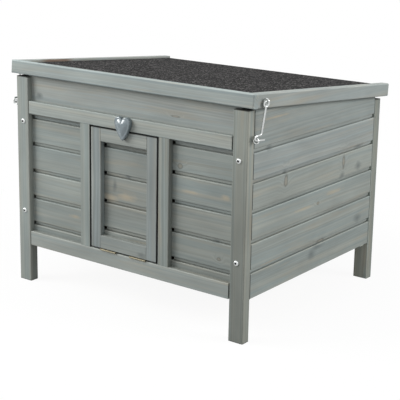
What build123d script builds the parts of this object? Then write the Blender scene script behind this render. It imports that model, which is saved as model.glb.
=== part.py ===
from build123d import *
import os
from math import asin, atan2, cos, degrees, pi, radians, sin, sqrt, tan

# A small-animal house of stained softwood: a cabin of tongued boards on four legs,
# with a felted lean-to roof hinged at the rear, a drop-down front door held by a
# heart-shaped turn button, and a wire hook on each side that holds the roof down.
# Millimetres, +Z up, front towards -Y, origin under the middle of the bounding box.

# Cabin, measured over the legs
house_width = 500.0
house_depth = 425.0
front_leg_height = 378.0
leg_width = 28.0
leg_ease = 1.2
panel_bottom = 69.5

# Timber sections
rail_thickness = 10.0
lower_rail_height = 26.3
upper_rail_height = 22.5
post_width = 22.5
rail_end_gap = 2.0
rail_ease = 0.8
batten_size = 14.0
batten_drop = 5.0

# Tongued boards: below each face hangs a recessed neck, and below that the tongue,
# which shows as a dark gap before it enters the groove of the board below
board_thickness = 8.0
board_reveal = 7.0
board_lift = 1.0
board_ease = 1.0
neck_recess = 2.2
shadow_gap = 2.2
tongue_thickness = 1.8
tongue_recess = 4.8
tongue_bite = 4.0
groove_play = 0.4
tongue_stop = 3.4
side_tongue_stop = 4.0
board_end_gap = 0.5
rebate_width = 8.0
header_drop = 69.2
header_show = 4.2
front_first_share = 0.84
front_courses = 5
side_courses = 5
side_inset = 1.0
side_end_gap = 1.5

# Roof, a tray of trims round a boarded panel with felt on top
roof_slope = 4.8
roof_overhang = 3.0
roof_rear_overhang = 6.5
roof_side_overhang = 10.5
leg_top_gap = 4.5
rear_leg_gap = 5.5
trim_height = 23.0
trim_ease = 2.2
front_trim_thickness = 12.0
side_trim_thickness = 14.5
felt_recess = 4.0
felt_thickness = 2.0
roof_panel_thickness = 9.0
roof_rest_gap = 0.3
side_top_gap = 2.0

# Door opening between the posts, and the door in it
doorway_width = 150.0
door_side_gap = 2.3
door_top_gap = 2.0
stile_width = 22.3
door_rail_height = 23.5
door_first_share = 0.71
door_courses = 5
door_board_inset = 1.0

# Butt hinges
leaf_thickness = 1.0
leaf_play = 0.4
knuckle_gap = 0.3
knuckle_end_gap = 0.2
pin_clearance = 0.05
door_hinge_length = 35.0
door_hinge_share = 0.2256
door_knuckle_radius = 1.4
door_pin_radius = 0.7
door_leaf_depth = 9.0
roof_hinge_length = 50.0
roof_hinge_x = 150.0
roof_knuckle_radius = 2.6
roof_pin_radius = 1.0
roof_leaf_depth = 16.0

# Heart-shaped turn button on the upper rail
button_x = 2.8
button_width = 34.0
button_height = 40.0
button_thickness = 10.0
button_gap = 0.5
lobe_radius = 9.1
lobe_rise = 3.9
lobe_end_angle = 20.0
tip_half_width = 1.6
tip_round = 0.9
button_depth_shares = (0.0, 0.64, 0.8, 0.93, 1.0)
button_size_shares = (1.0, 0.97, 0.92, 0.8, 0.5)
lobe_facets = 12
side_facets = 6
button_screw_radius = 2.0
button_screw_bite = 5.0
button_head_radius = 4.5
button_head_height = 2.2

# Screw eyes and hooks; the left leg's eye stands out further, as it was driven in less
eye_wire_radius = 1.2
eye_ring_radius = 4.5
eye_thread = 9.0
roof_eye_setback = 25.0
roof_eye_neck = 1.5
right_eye_neck = 2.6
left_eye_neck = 6.0
hook_wire_radius = 1.7
hook_loop_radius = 4.2
hook_link_gap = 0.3
hook_loop_turn = 20.0
right_hook_reach = 57.0
left_hook_reach = 60.0
right_hook_forward = 10.9
left_hook_forward = 15.4
hook_throat = 7.4
hook_nose = 3.8
hook_heel = 0.8
hook_tip = 22.0
hook_tip_fall = 1.9
hook_heel_bend = 3.0
hook_nose_bend = 3.4

# Frame screws through the legs into the corner battens
screw_radius = 2.0
screw_length = 28.0
screw_inset = 15.5
screw_rise = 63.5
screw_drop = 43.0
screw_head_radius = 4.6
screw_head_height = 2.4
screw_head_taper = 28.0
socket_radius = 1.6
socket_depth = 1.4
pilot_clearance = 0.1
wire_sides = 6
ring_sides = 16
head_sides = 12

# Floor
floor_thickness = 6.0
floor_gap = 1.0

# One overrun for every cut that leaves its solid
overrun = 5.0

# Sizes worked out from the values above
leg_thickness = rail_thickness + board_thickness
board_bottom = panel_bottom + board_lift
header_bottom = front_leg_height - header_drop
boarded_height = header_bottom - board_bottom - front_courses * board_reveal
board_face = boarded_height / (front_courses - 1 + front_first_share)
front_first_face = front_first_share * board_face
board_pitch = board_face + board_reveal
tongue_length = board_reveal + tongue_bite
groove_depth = tongue_bite + groove_play
slope_sin = sin(radians(roof_slope))
slope_cos = cos(radians(roof_slope))
roof_front_height = front_leg_height + leg_top_gap
roof_width = house_width + 2 * roof_side_overhang
roof_length = (roof_overhang + house_depth + roof_rear_overhang) / slope_cos
button_reach = button_gap + button_thickness
roof_rear_reach = roof_length * slope_cos + trim_height * slope_sin - roof_overhang
front_y = (button_reach - roof_rear_reach) / 2
rear_y = front_y + house_depth
roof_front_y = front_y - roof_overhang
rear_leg_height = roof_front_height - (rear_y - roof_front_y) * tan(radians(roof_slope)) - rear_leg_gap
half_width = house_width / 2
half_roof = roof_width / 2
lower_rail_top = panel_bottom + lower_rail_height
upper_rail_bottom = header_bottom + header_show
upper_rail_top = upper_rail_bottom + upper_rail_height
rail_length = house_width - 2 * (leg_width + rail_end_gap)
wedge_bottom = board_bottom + board_face + (side_courses - 1) * board_pitch + board_reveal
felt_base = trim_height - felt_recess - felt_thickness
roof_underside = felt_base - roof_panel_thickness
tray_half_width = half_roof - side_trim_thickness
tray_length = roof_length - front_trim_thickness
hinge_gap = 2 * leaf_thickness + leaf_play
door_bottom = lower_rail_top + hinge_gap
door_top = upper_rail_bottom - door_top_gap
door_width = doorway_width - 2 * door_side_gap
door_hinge_x = door_hinge_share * door_width
post_centre_x = (doorway_width + post_width) / 2
post_outer_x = doorway_width / 2 + post_width
leg_inner_x = half_width - leg_width
screw_x = half_width - screw_inset
screw_low = panel_bottom + screw_rise
screw_high = rear_leg_height - screw_drop
button_z = upper_rail_bottom + upper_rail_height / 2

os.makedirs("parts", exist_ok=True)


def save(piece, label):
    """Names a finished piece and writes it as one STEP file."""
    piece.label = label
    export_step(piece, f"parts/{label}.step")


def roof_plane(lift):
    """The plane a given height above the underside of the roof's trims, sloping down to the rear."""
    base = Plane((0, roof_front_y, roof_front_height), x_dir=(1, 0, 0), z_dir=(0, slope_sin, slope_cos))
    return base.offset(lift)


def outward(x, y, z, normal):
    """A plane on a face of the object, for holes and screws that go in along the normal."""
    return Plane((x, y, z), z_dir=normal)


def front_section(x, y, z):
    """Section plane of a board whose face looks to the front; it is extruded to the right."""
    return Plane((x, y, z), x_dir=(0, 1, 0), z_dir=(1, 0, 0))


def rear_section(x, y, z):
    """Section plane of a board whose face looks to the rear; it is extruded to the left."""
    return Plane((x, y, z), x_dir=(0, -1, 0), z_dir=(-1, 0, 0))


def right_section(x, y, z):
    """Section plane of a board whose face looks to the right; it is extruded to the rear."""
    return Plane((x, y, z), x_dir=(-1, 0, 0), z_dir=(0, 1, 0))


def pilot(seat, radius, depth):
    """A pilot hole to be cut from a piece, with as many sides as the shank that fills it."""
    with BuildPart() as bore:
        with BuildSketch(seat):
            RegularPolygon(radius + pilot_clearance, wire_sides)
        extrude(amount=-depth)
    return bore.part


def tongue(seat, length):
    """The neck and the tongue below a board's face, rooted a little way up inside the board."""
    low = (Align.MIN, Align.MIN)
    neck_length = board_reveal - shadow_gap
    neck_thickness = tongue_recess + tongue_thickness - neck_recess
    with BuildPart() as strip:
        with BuildSketch(seat):
            with Locations((neck_recess, -neck_length)):
                Rectangle(neck_thickness, neck_length + tongue_bite, align=low)
            with Locations((tongue_recess, -tongue_length)):
                Rectangle(tongue_thickness, tongue_length, align=low)
        extrude(amount=length)
    return strip.part


def board(seat, length, face, groove=True, tongue_gaps=None):
    """A board with an eased face; its tongue stops short of the two ends by the given gaps."""
    low = (Align.MIN, Align.MIN)
    with BuildPart() as plank:
        with BuildSketch(seat):
            end = Rectangle(board_thickness, face, align=low)
            chamfer(end.vertices().group_by(Axis.X)[0], board_ease)
            if groove:
                groove_width = tongue_thickness + 2 * groove_play
                with Locations((tongue_recess - groove_play, face - groove_depth)):
                    Rectangle(groove_width, groove_depth + overrun, align=low, mode=Mode.SUBTRACT)
        extrude(amount=length)
        if tongue_gaps:
            add(tongue(seat.offset(tongue_gaps[0]), length - tongue_gaps[0] - tongue_gaps[1]))
    return plank.part


def course_heights(first_face, courses):
    """Lower edge and height of each board's face, from the lowest board up."""
    heights = [(board_bottom, first_face)]
    for course in range(1, courses):
        heights.append((board_bottom + first_face + (course - 1) * board_pitch + board_reveal, board_face))
    return heights


def bar(x_span, y_span, z_span, ease_axis, ease):
    """A straight squared timber between the given limits, with its long edges eased."""
    with BuildPart() as timber:
        with BuildSketch(Plane.XY.offset(z_span[0])):
            with Locations(((x_span[0] + x_span[1]) / 2, (y_span[0] + y_span[1]) / 2)):
                Rectangle(x_span[1] - x_span[0], y_span[1] - y_span[0])
        extrude(amount=z_span[1] - z_span[0])
        chamfer(timber.edges().filter_by(ease_axis), ease)
    return timber.part


# Legs: squared posts, rebated above the panel's lower edge for the ends of the boards
def right_leg(y_outer, inward, height, eye=None):
    """The right leg of the front (inward 1) or of the rear (inward -1)."""
    with BuildPart() as leg:
        with BuildSketch() as section:
            with Locations((half_width - leg_width / 2, y_outer + inward * leg_thickness / 2)):
                Rectangle(leg_width, leg_thickness)
            chamfer(section.vertices(), leg_ease)
        extrude(amount=height)
        with BuildSketch(Plane.XY.offset(panel_bottom)):
            rebate_y = y_outer + inward * (leg_thickness - board_thickness / 2 + overrun / 2)
            with Locations((half_width - leg_width + (rebate_width - overrun) / 2, rebate_y)):
                Rectangle(rebate_width + overrun, board_thickness + overrun)
        extrude(amount=height, mode=Mode.SUBTRACT)
        for z in (screw_low, screw_high):
            seat = outward(screw_x, y_outer, z, (0, -inward, 0))
            add(pilot(seat, screw_radius, leg_thickness), mode=Mode.SUBTRACT)
        if eye:
            seat = outward(half_width, eye[1], eye[2], (1, 0, 0))
            add(pilot(seat, eye_wire_radius, eye_thread), mode=Mode.SUBTRACT)
    return leg.part


# A hook turns on the lowest point of its roof eye's ring, and leans in to the leg's eye
roof_eye_x = half_roof + roof_eye_neck + eye_ring_radius
roof_eye_y = roof_front_y + roof_eye_setback * slope_cos + trim_height / 2 * slope_sin
roof_eye_z = roof_front_height - roof_eye_setback * slope_sin + trim_height / 2 * slope_cos
hook_pivot_z = roof_eye_z - eye_ring_radius


def hook_lean(neck, reach):
    """The angle by which a hook leans in from the roof eye to the leg's eye."""
    return asin((roof_eye_x - half_width - neck - eye_ring_radius) / reach)


def leg_eye(neck, reach, forward):
    """The middle of a leg eye's ring, a given reach below the hook's pivot and forward of it."""
    drop = reach * cos(hook_lean(neck, reach))
    return half_width + neck + eye_ring_radius, roof_eye_y - forward, hook_pivot_z - drop


right_eye = leg_eye(right_eye_neck, right_hook_reach, right_hook_forward)
left_eye = leg_eye(left_eye_neck, left_hook_reach, left_hook_forward)
leg_rear_right = right_leg(rear_y, -1, rear_leg_height)
save(right_leg(front_y, 1, front_leg_height, right_eye), "leg_front_right")
save(leg_rear_right, "leg_rear_right")
save(mirror(right_leg(front_y, 1, front_leg_height, left_eye), about=Plane.YZ), "leg_front_left")
save(mirror(leg_rear_right, about=Plane.YZ), "leg_rear_left")

# Front frame: two rails and two door posts, all flush with the legs' faces
front_face = (front_y, front_y + rail_thickness)
rail_span = (-rail_length / 2, rail_length / 2)
with BuildPart() as front_upper_rail:
    add(bar(rail_span, front_face, (upper_rail_bottom, upper_rail_top), Axis.X, rail_ease))
    with Locations(outward(button_x, front_y, button_z, (0, -1, 0))):
        Hole(button_screw_radius + pilot_clearance, depth=rail_thickness)
save(front_upper_rail.part, "front_upper_rail")
save(bar(rail_span, front_face, (panel_bottom, lower_rail_top), Axis.X, rail_ease), "front_lower_rail")
post_span = (post_centre_x - post_width / 2, post_centre_x + post_width / 2)
door_post_right = bar(post_span, front_face, (lower_rail_top, upper_rail_bottom), Axis.Z, rail_ease)
save(door_post_right, "door_post_right")
save(mirror(door_post_right, about=Plane.YZ), "door_post_left")

# Front boards run from the leg's rebate to the doorway, behind the rails and the post;
# their tongues stop short of the leg and the post, which leaves a dark slot at each end
front_board_y = front_y + rail_thickness
board_outer_x = leg_inner_x + rebate_width - board_end_gap
board_inner_x = doorway_width / 2 + door_board_inset
tongue_outer_x = leg_inner_x - tongue_stop
tongue_inner_x = post_outer_x + tongue_stop
front_gaps = (tongue_inner_x - board_inner_x, board_outer_x - tongue_outer_x)
with BuildPart() as front_boards_right:
    for course, (z, face) in enumerate(course_heights(front_first_face, front_courses)):
        seat = front_section(board_inner_x, front_board_y, z)
        add(board(seat, board_outer_x - board_inner_x, face, tongue_gaps=front_gaps if course else None))
save(front_boards_right.part, "front_boards_right")
save(mirror(front_boards_right.part, about=Plane.YZ), "front_boards_left")

# Header board: the widest one, across the whole front, cut away over the doorway
with BuildPart() as front_header_board:
    seat = front_section(-board_outer_x, front_board_y, header_bottom)
    add(board(seat, 2 * board_outer_x, roof_front_height + roof_underside - header_bottom, groove=False))
    for tongue_x in (tongue_inner_x, -tongue_outer_x):
        add(tongue(front_section(tongue_x, front_board_y, header_bottom), tongue_outer_x - tongue_inner_x))
    split(bisect_by=roof_plane(roof_underside - roof_rest_gap), keep=Keep.BOTTOM)
    with BuildSketch(Plane.XY.offset(upper_rail_bottom)):
        with Locations((0, front_board_y + board_thickness / 2)):
            Rectangle(2 * board_inner_x, board_thickness + overrun)
    extrude(amount=header_bottom - tongue_length - upper_rail_bottom - overrun, mode=Mode.SUBTRACT)
    with Locations(outward(button_x, front_board_y, button_z, (0, -1, 0))):
        Hole(button_screw_radius + pilot_clearance, depth=board_thickness)
save(front_header_board.part, "front_header_board")

# Side boards lie between the legs, with a wedge-shaped top board under the roof's slope
side_face_x = half_width - side_inset
side_start_y = front_y + leg_thickness + side_end_gap
side_length = house_depth - 2 * (leg_thickness + side_end_gap)
side_boards = course_heights(board_face, side_courses)
side_boards.append((wedge_bottom, roof_front_height - wedge_bottom))
for course, (z, face) in enumerate(side_boards):
    is_wedge = course == side_courses
    with BuildPart() as side_board:
        seat = right_section(side_face_x, side_start_y, z)
        gaps = (0, side_tongue_stop) if course else None
        add(board(seat, side_length, face, not is_wedge, gaps))
        if is_wedge:
            split(bisect_by=roof_plane(-side_top_gap), keep=Keep.BOTTOM)
    save(side_board.part, f"side_right_board_{course + 1}")
    save(mirror(side_board.part, about=Plane.YZ), f"side_left_board_{course + 1}")

# Corner battens inside the side boards, which the legs are screwed to
batten_outer_x = side_face_x - board_thickness
batten_x_span = (batten_outer_x - batten_size, batten_outer_x)


def right_batten(y_near, inward):
    """The right corner batten behind a front leg (inward 1) or before a rear leg (inward -1)."""
    y_span = sorted((y_near, y_near + inward * batten_size))
    with BuildPart() as batten:
        add(bar(batten_x_span, y_span, (panel_bottom - batten_drop, roof_front_height), Axis.Z, rail_ease))
        split(bisect_by=roof_plane(-side_top_gap), keep=Keep.BOTTOM)
        for z in (screw_low, screw_high):
            seat = outward(screw_x, y_near, z, (0, -inward, 0))
            add(pilot(seat, screw_radius, screw_length - leg_thickness), mode=Mode.SUBTRACT)
    return batten.part


corner_batten_front_right = right_batten(front_y + leg_thickness, 1)
corner_batten_rear_right = right_batten(rear_y - leg_thickness, -1)
save(corner_batten_front_right, "corner_batten_front_right")
save(corner_batten_rear_right, "corner_batten_rear_right")
save(mirror(corner_batten_front_right, about=Plane.YZ), "corner_batten_front_left")
save(mirror(corner_batten_rear_right, about=Plane.YZ), "corner_batten_rear_left")

# Back wall: the same boards behind two rails, its top cut to clear the roof's hinge leaves
rear_face = (rear_y - rail_thickness, rear_y)
rear_top_lift = roof_underside - leaf_thickness - leaf_play
rear_fall = (rear_y - rail_thickness - roof_front_y) * tan(radians(roof_slope))
rear_top = roof_front_height - rear_fall + rear_top_lift / slope_cos
rear_upper_bottom = rear_top - upper_rail_height
with BuildPart() as rear_upper_rail:
    add(bar(rail_span, rear_face, (rear_upper_bottom, roof_front_height), Axis.X, rail_ease))
    split(bisect_by=roof_plane(rear_top_lift), keep=Keep.BOTTOM)
save(rear_upper_rail.part, "rear_upper_rail")
save(bar(rail_span, rear_face, (panel_bottom, lower_rail_top), Axis.X, rail_ease), "rear_lower_rail")
rear_gaps = (front_gaps[1], front_gaps[1])
with BuildPart() as rear_boards:
    for course, (z, face) in enumerate(course_heights(front_first_face, front_courses)):
        seat = rear_section(board_outer_x, rear_y - rail_thickness, z)
        add(board(seat, 2 * board_outer_x, face, tongue_gaps=rear_gaps if course else None))
    seat = rear_section(board_outer_x, rear_y - rail_thickness, header_bottom)
    add(board(seat, 2 * board_outer_x, roof_front_height - header_bottom, False, rear_gaps))
    split(bisect_by=roof_plane(rear_top_lift), keep=Keep.BOTTOM)
save(rear_boards.part, "rear_boards")

# Floor panel, notched round the corner battens, on two battens along the front and back walls
floor_front_y = front_y + leg_thickness
floor_rear_y = rear_y - leg_thickness
floor_batten_span = (-batten_x_span[0], batten_x_span[0])
floor_batten_z = (board_bottom, board_bottom + batten_size)
front_batten_y = (floor_front_y, floor_front_y + batten_size)
rear_batten_y = (floor_rear_y - batten_size, floor_rear_y)
save(bar(floor_batten_span, front_batten_y, floor_batten_z, Axis.X, rail_ease), "floor_batten_front")
save(bar(floor_batten_span, rear_batten_y, floor_batten_z, Axis.X, rail_ease), "floor_batten_rear")
with BuildPart() as floor_panel:
    with BuildSketch(Plane.XY.offset(floor_batten_z[1])):
        middle_y = (floor_front_y + floor_rear_y) / 2
        floor_width = 2 * (batten_outer_x - floor_gap)
        floor_depth = floor_rear_y - floor_front_y - 2 * floor_gap
        with Locations((0, middle_y)):
            Rectangle(floor_width, floor_depth)
        with Locations((0, middle_y)):
            with GridLocations(floor_width, floor_depth, 2, 2):
                Rectangle(2 * batten_size, 2 * batten_size, mode=Mode.SUBTRACT)
    extrude(amount=floor_thickness)
save(floor_panel.part, "floor_panel")

# Frame screws: round heads with a hexagon socket, two to each leg
with BuildPart() as frame_screws:
    for x in (-screw_x, screw_x):
        for z in (screw_low, screw_high):
            for y, normal in ((front_y, (0, -1, 0)), (rear_y, (0, 1, 0))):
                seat = outward(x, y, z, normal)
                with BuildSketch(seat):
                    RegularPolygon(screw_radius, wire_sides)
                extrude(amount=-screw_length)
                with BuildSketch(seat):
                    RegularPolygon(screw_head_radius, head_sides)
                extrude(amount=screw_head_height, taper=screw_head_taper)
                with BuildSketch(seat.offset(screw_head_height)):
                    RegularPolygon(socket_radius, 6)
                extrude(amount=-socket_depth, mode=Mode.SUBTRACT)
save(frame_screws.part, "frame_screws")

# Door: two stiles and two rails with boards behind, closed in the doorway
door_half = door_width / 2
stile_span = (door_half - stile_width, door_half)
door_stile_right = bar(stile_span, front_face, (door_bottom, door_top), Axis.Z, rail_ease)
save(door_stile_right, "door_stile_right")
save(mirror(door_stile_right, about=Plane.YZ), "door_stile_left")
door_rail_span = (-stile_span[0], stile_span[0])
top_rail_z = (door_top - door_rail_height, door_top)
bottom_rail_z = (door_bottom, door_bottom + door_rail_height)
save(bar(door_rail_span, front_face, top_rail_z, Axis.X, rail_ease), "door_top_rail")
save(bar(door_rail_span, front_face, bottom_rail_z, Axis.X, rail_ease), "door_bottom_rail")
door_board_half = door_half - door_board_inset
door_board_bottom = door_bottom + door_board_inset
door_board_top = door_top - door_board_inset
door_heights = [(door_board_bottom, door_first_share * board_face)]
for course in range(1, door_courses):
    course_z = door_heights[-1][0] + door_heights[-1][1] + board_reveal
    is_top = course == door_courses - 1
    door_heights.append((course_z, door_board_top - course_z if is_top else board_face))
door_gap = door_board_half - stile_span[0] + tongue_stop
with BuildPart() as door_boards:
    for course, (z, face) in enumerate(door_heights):
        seat = front_section(-door_board_half, front_board_y, z)
        gaps = (door_gap, door_gap) if course else None
        add(board(seat, 2 * door_board_half, face, course < door_courses - 1, gaps))
save(door_boards.part, "door_boards")


# Butt hinges: plates with rolled knuckles on a pin along the local X axis
def hinge_leaf(seat, length, knuckle_radius, pin_radius, depth, plate_set, outer):
    """One leaf: a plate along the seat's +Y, set off the pin towards +Z, and its outer or middle knuckles."""
    third = length / 3
    plate_start = knuckle_radius + knuckle_gap
    centres = (-third, third) if outer else (0,)
    low = (Align.CENTER, Align.MIN)
    with BuildPart() as leaf:
        with BuildSketch(seat.offset(plate_set)):
            with Locations((0, plate_start)):
                Rectangle(length, depth - plate_start, align=low)
            with Locations(*[(centre, 0) for centre in centres]):
                Rectangle(third - knuckle_end_gap, plate_start, align=low)
        extrude(amount=leaf_thickness)
        for centre in centres:
            knuckle_plane = Plane(seat.origin, x_dir=seat.y_dir, z_dir=seat.x_dir)
            with BuildSketch(knuckle_plane.offset(centre)):
                Circle(knuckle_radius)
            extrude(amount=(third - knuckle_end_gap) / 2, both=True)
        with BuildSketch(Plane(seat.origin, x_dir=seat.y_dir, z_dir=seat.x_dir)):
            Circle(pin_radius + pin_clearance)
        extrude(amount=length, both=True, mode=Mode.SUBTRACT)
    return leaf.part


def hinge_pin(seat, length, pin_radius):
    """The pin of one hinge."""
    with BuildPart() as pin:
        with BuildSketch(Plane(seat.origin, x_dir=seat.y_dir, z_dir=seat.x_dir)):
            Circle(pin_radius)
        extrude(amount=length / 2, both=True)
    return pin.part


def pair_of(piece, mirrored=None):
    """A piece on the right, and on the left its mirror image or that of another, as one node."""
    with BuildPart() as pair:
        add(piece)
        add(mirror(mirrored or piece, about=Plane.YZ, mode=Mode.PRIVATE))
    return pair.part


# Door hinges: leaves folded in the gap under the door, knuckles in front of the face
door_pin_y = front_y - door_knuckle_radius - knuckle_gap
door_pin_z = lower_rail_top + hinge_gap / 2
door_leaf_reach = door_leaf_depth + door_knuckle_radius + knuckle_gap
rail_seat = Plane((door_hinge_x, door_pin_y, door_pin_z), x_dir=(-1, 0, 0), z_dir=(0, 0, -1))
door_seat = Plane((door_hinge_x, door_pin_y, door_pin_z), x_dir=(1, 0, 0), z_dir=(0, 0, 1))
door_hinge = (door_hinge_length, door_knuckle_radius, door_pin_radius, door_leaf_reach, leaf_play / 2)
save(pair_of(hinge_leaf(rail_seat, *door_hinge, True)), "door_hinge_rail_leaves")
save(pair_of(hinge_leaf(door_seat, *door_hinge, False)), "door_hinge_door_leaves")
save(pair_of(hinge_pin(rail_seat, door_hinge_length, door_pin_radius)), "door_hinge_pins")

# Roof hinges: one leaf down the back rail, the other under the roof panel
roof_pin_off = roof_knuckle_radius + knuckle_gap
roof_pin_y = rear_y + roof_pin_off
roof_pin_run = (roof_pin_y - roof_front_y - (roof_underside - roof_pin_off) * slope_sin) / slope_cos
roof_pin = roof_plane(roof_underside - roof_pin_off).from_local_coords((roof_hinge_x, roof_pin_run, 0))
wall_seat = Plane(roof_pin, x_dir=(-1, 0, 0), z_dir=(0, -1, 0))
roof_seat = Plane(roof_pin, x_dir=(-1, 0, 0), z_dir=(0, slope_sin, slope_cos))
roof_leaf_set = roof_pin_off - leaf_thickness
roof_hinge = (roof_hinge_length, roof_knuckle_radius, roof_pin_radius, roof_leaf_depth, roof_leaf_set)
save(pair_of(hinge_leaf(wall_seat, *roof_hinge, True)), "roof_hinge_wall_leaves")
save(pair_of(hinge_leaf(roof_seat, *roof_hinge, False)), "roof_hinge_roof_leaves")
save(pair_of(hinge_pin(wall_seat, roof_hinge_length, roof_pin_radius)), "roof_hinge_pins")


# Heart-shaped turn button: points along one outline, lofted through shrinking copies into a domed front
def heart_points():
    """Points round the heart about its pivot: lobe arcs, gently bowed sides and a blunt tip."""
    lobe_x = button_width / 2 - lobe_radius
    notch_angle = degrees(atan2(sqrt(lobe_radius**2 - lobe_x**2), -lobe_x))
    tip_z = lobe_rise + lobe_radius - button_height
    with BuildLine():
        lobe = CenterArc((lobe_x, lobe_rise), lobe_radius, -lobe_end_angle, notch_angle + lobe_end_angle)
        side = TangentArc(lobe @ 0, (tip_half_width, tip_z + tip_round), tangent=(lobe % 0) * -1)
    points = [lobe @ (1 - step / lobe_facets) for step in range(lobe_facets)]
    points += [side @ (step / side_facets) for step in range(side_facets + 1)]
    right = [(point.X, point.Y) for point in points]
    left = [(-x, y) for x, y in reversed(right[1:])]
    return [*right, (0, tip_z), *left]


button_back_y = front_y - button_gap
button_sections = []
for depth_share, size_share in zip(button_depth_shares, button_size_shares):
    section_y = button_back_y - depth_share * button_thickness
    corners = [(x * size_share, y * size_share) for x, y in heart_points()]
    with BuildSketch(Plane((button_x, section_y, button_z), x_dir=(1, 0, 0), z_dir=(0, -1, 0))) as section:
        with BuildLine():
            Polyline(*corners, close=True)
        make_face()
    button_sections.append(section.sketch)
with BuildPart() as heart_button:
    loft(button_sections, ruled=True)
    with Locations(outward(button_x, button_back_y, button_z, (0, 1, 0))):
        Hole(button_screw_radius + pilot_clearance, depth=button_screw_bite)
save(heart_button.part, "heart_button")
with BuildPart() as button_screw:
    head_y = front_y + leg_thickness + button_gap
    inner_seat = outward(button_x, head_y, button_z, (0, 1, 0))
    with BuildSketch(inner_seat):
        RegularPolygon(button_head_radius, head_sides)
    extrude(amount=button_head_height, taper=screw_head_taper)
    with BuildSketch(inner_seat):
        Circle(button_screw_radius)
    extrude(amount=button_back_y - head_y - button_screw_bite)
save(button_screw.part, "button_screw")

# Roof tray: trims at the front and sides, a panel between them and felt on the panel
tray_middle = front_trim_thickness + tray_length / 2
with BuildPart() as roof_panel:
    with BuildSketch(roof_plane(roof_underside)):
        with Locations((0, tray_middle)):
            Rectangle(2 * tray_half_width, tray_length)
    extrude(amount=roof_panel_thickness)
save(roof_panel.part, "roof_panel")
with BuildPart() as roof_felt:
    with BuildSketch(roof_plane(felt_base)):
        with Locations((0, tray_middle)):
            Rectangle(2 * tray_half_width, tray_length)
    extrude(amount=felt_thickness)
save(roof_felt.part, "roof_felt")
with BuildPart() as roof_trim_front:
    with BuildSketch(roof_plane(0)):
        with Locations((0, front_trim_thickness / 2)):
            Rectangle(roof_width, front_trim_thickness)
    extrude(amount=trim_height)
    front_edges = roof_trim_front.faces().sort_by(Axis.Y)[0].edges()
    fillet(front_edges, trim_ease)
save(roof_trim_front.part, "roof_trim_front")
with BuildPart() as roof_trim_right:
    with BuildSketch(roof_plane(0)):
        with Locations((half_roof - side_trim_thickness / 2, tray_middle)):
            Rectangle(side_trim_thickness, tray_length)
    extrude(amount=trim_height)
    outer_face = roof_trim_right.faces().sort_by(Axis.X)[-1]
    fillet(outer_face.edges().filter_by(lambda edge: edge.length > tray_length / 2), trim_ease)
    eye_seat = outward(half_roof, roof_eye_y, roof_eye_z, (1, 0, 0))
    add(pilot(eye_seat, eye_wire_radius, eye_thread), mode=Mode.SUBTRACT)
save(roof_trim_right.part, "roof_trim_right")
save(mirror(roof_trim_right.part, about=Plane.YZ), "roof_trim_left")


# Bent wire: a ring is swept round in short straight facets
def wire_ring(disc, ring_radius, wire_radius):
    """A closed ring of wire in the plane of the given disc, with the middle of a facet on its x axis."""
    half_facet = pi / ring_sides
    corner_radius = ring_radius / cos(half_facet)
    turns = [(2 * facet + 1) * half_facet for facet in range(ring_sides)]
    corners = [(corner_radius * cos(turn), corner_radius * sin(turn)) for turn in turns]
    with BuildPart() as ring:
        with BuildLine(disc) as path:
            Polyline((ring_radius, 0), *corners, close=True)
        with BuildSketch(Plane(path.line @ 0, x_dir=disc.x_dir, z_dir=path.line % 0)):
            RegularPolygon(wire_radius, wire_sides)
        sweep(path=path.line, transition=Transition.RIGHT)
    return ring.part


# Screw eyes: a wire ring on a threaded shank
def screw_eye(face_x, neck, y, z):
    """A screw eye in a face that looks to the right, its ring facing the front."""
    with BuildPart() as eye:
        with BuildSketch(outward(face_x - eye_thread, y, z, (1, 0, 0))):
            RegularPolygon(eye_wire_radius, wire_sides)
        extrude(amount=eye_thread + neck)
        disc = Plane((face_x + neck + eye_ring_radius, y, z), x_dir=(1, 0, 0), z_dir=(0, 1, 0))
        add(wire_ring(disc, eye_ring_radius, eye_wire_radius))
    return eye.part


right_leg_eye = screw_eye(half_width, right_eye_neck, *right_eye[1:])
left_leg_eye = screw_eye(half_width, left_eye_neck, *left_eye[1:])
save(pair_of(screw_eye(half_roof, roof_eye_neck, roof_eye_y, roof_eye_z)), "roof_eyes")
save(pair_of(right_leg_eye, left_leg_eye), "leg_eyes")


# Hooks: a loop round the roof eye's wire, a rod, and a nose whose tip lies through the leg's eye
def hook(neck, reach, forward):
    """A hook on the right, in the plane that leans from the roof eye to the leg's eye."""
    lean = hook_lean(neck, reach)
    flat = Plane((roof_eye_x, roof_eye_y, hook_pivot_z), x_dir=(0, 1, 0), z_dir=(cos(lean), 0, -sin(lean)))
    caught_wire = eye_ring_radius - reach
    loop_rise = hook_loop_radius - hook_wire_radius - eye_wire_radius - hook_link_gap
    loop_centre = flat.from_local_coords((0, loop_rise, 0))
    corners = (
        (0, loop_rise - hook_loop_radius),
        (hook_heel, caught_wire + hook_throat / 2),
        (-forward - hook_nose, caught_wire + hook_throat / 2),
        (-forward - hook_nose, caught_wire - hook_throat / 2),
        (hook_tip - forward, -reach - hook_tip_fall),
    )
    turn = radians(hook_loop_turn)
    loop_axis = flat.z_dir * cos(turn) - flat.x_dir * sin(turn)
    with BuildPart() as wire:
        with BuildLine(flat) as path:
            FilletPolyline(*corners, radius=[hook_heel_bend, hook_nose_bend, hook_nose_bend])
        with BuildSketch(Plane(path.line @ 0, x_dir=flat.z_dir, z_dir=path.line % 0)):
            RegularPolygon(hook_wire_radius, wire_sides)
        sweep(path=path.line)
        disc = Plane(loop_centre, x_dir=-flat.y_dir, z_dir=loop_axis)
        add(wire_ring(disc, hook_loop_radius, hook_wire_radius))
    return wire.part


save(hook(right_eye_neck, right_hook_reach, right_hook_forward), "hook_right")
left_hook = hook(left_eye_neck, left_hook_reach, left_hook_forward)
save(mirror(left_hook, about=Plane.YZ), "hook_left")
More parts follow.
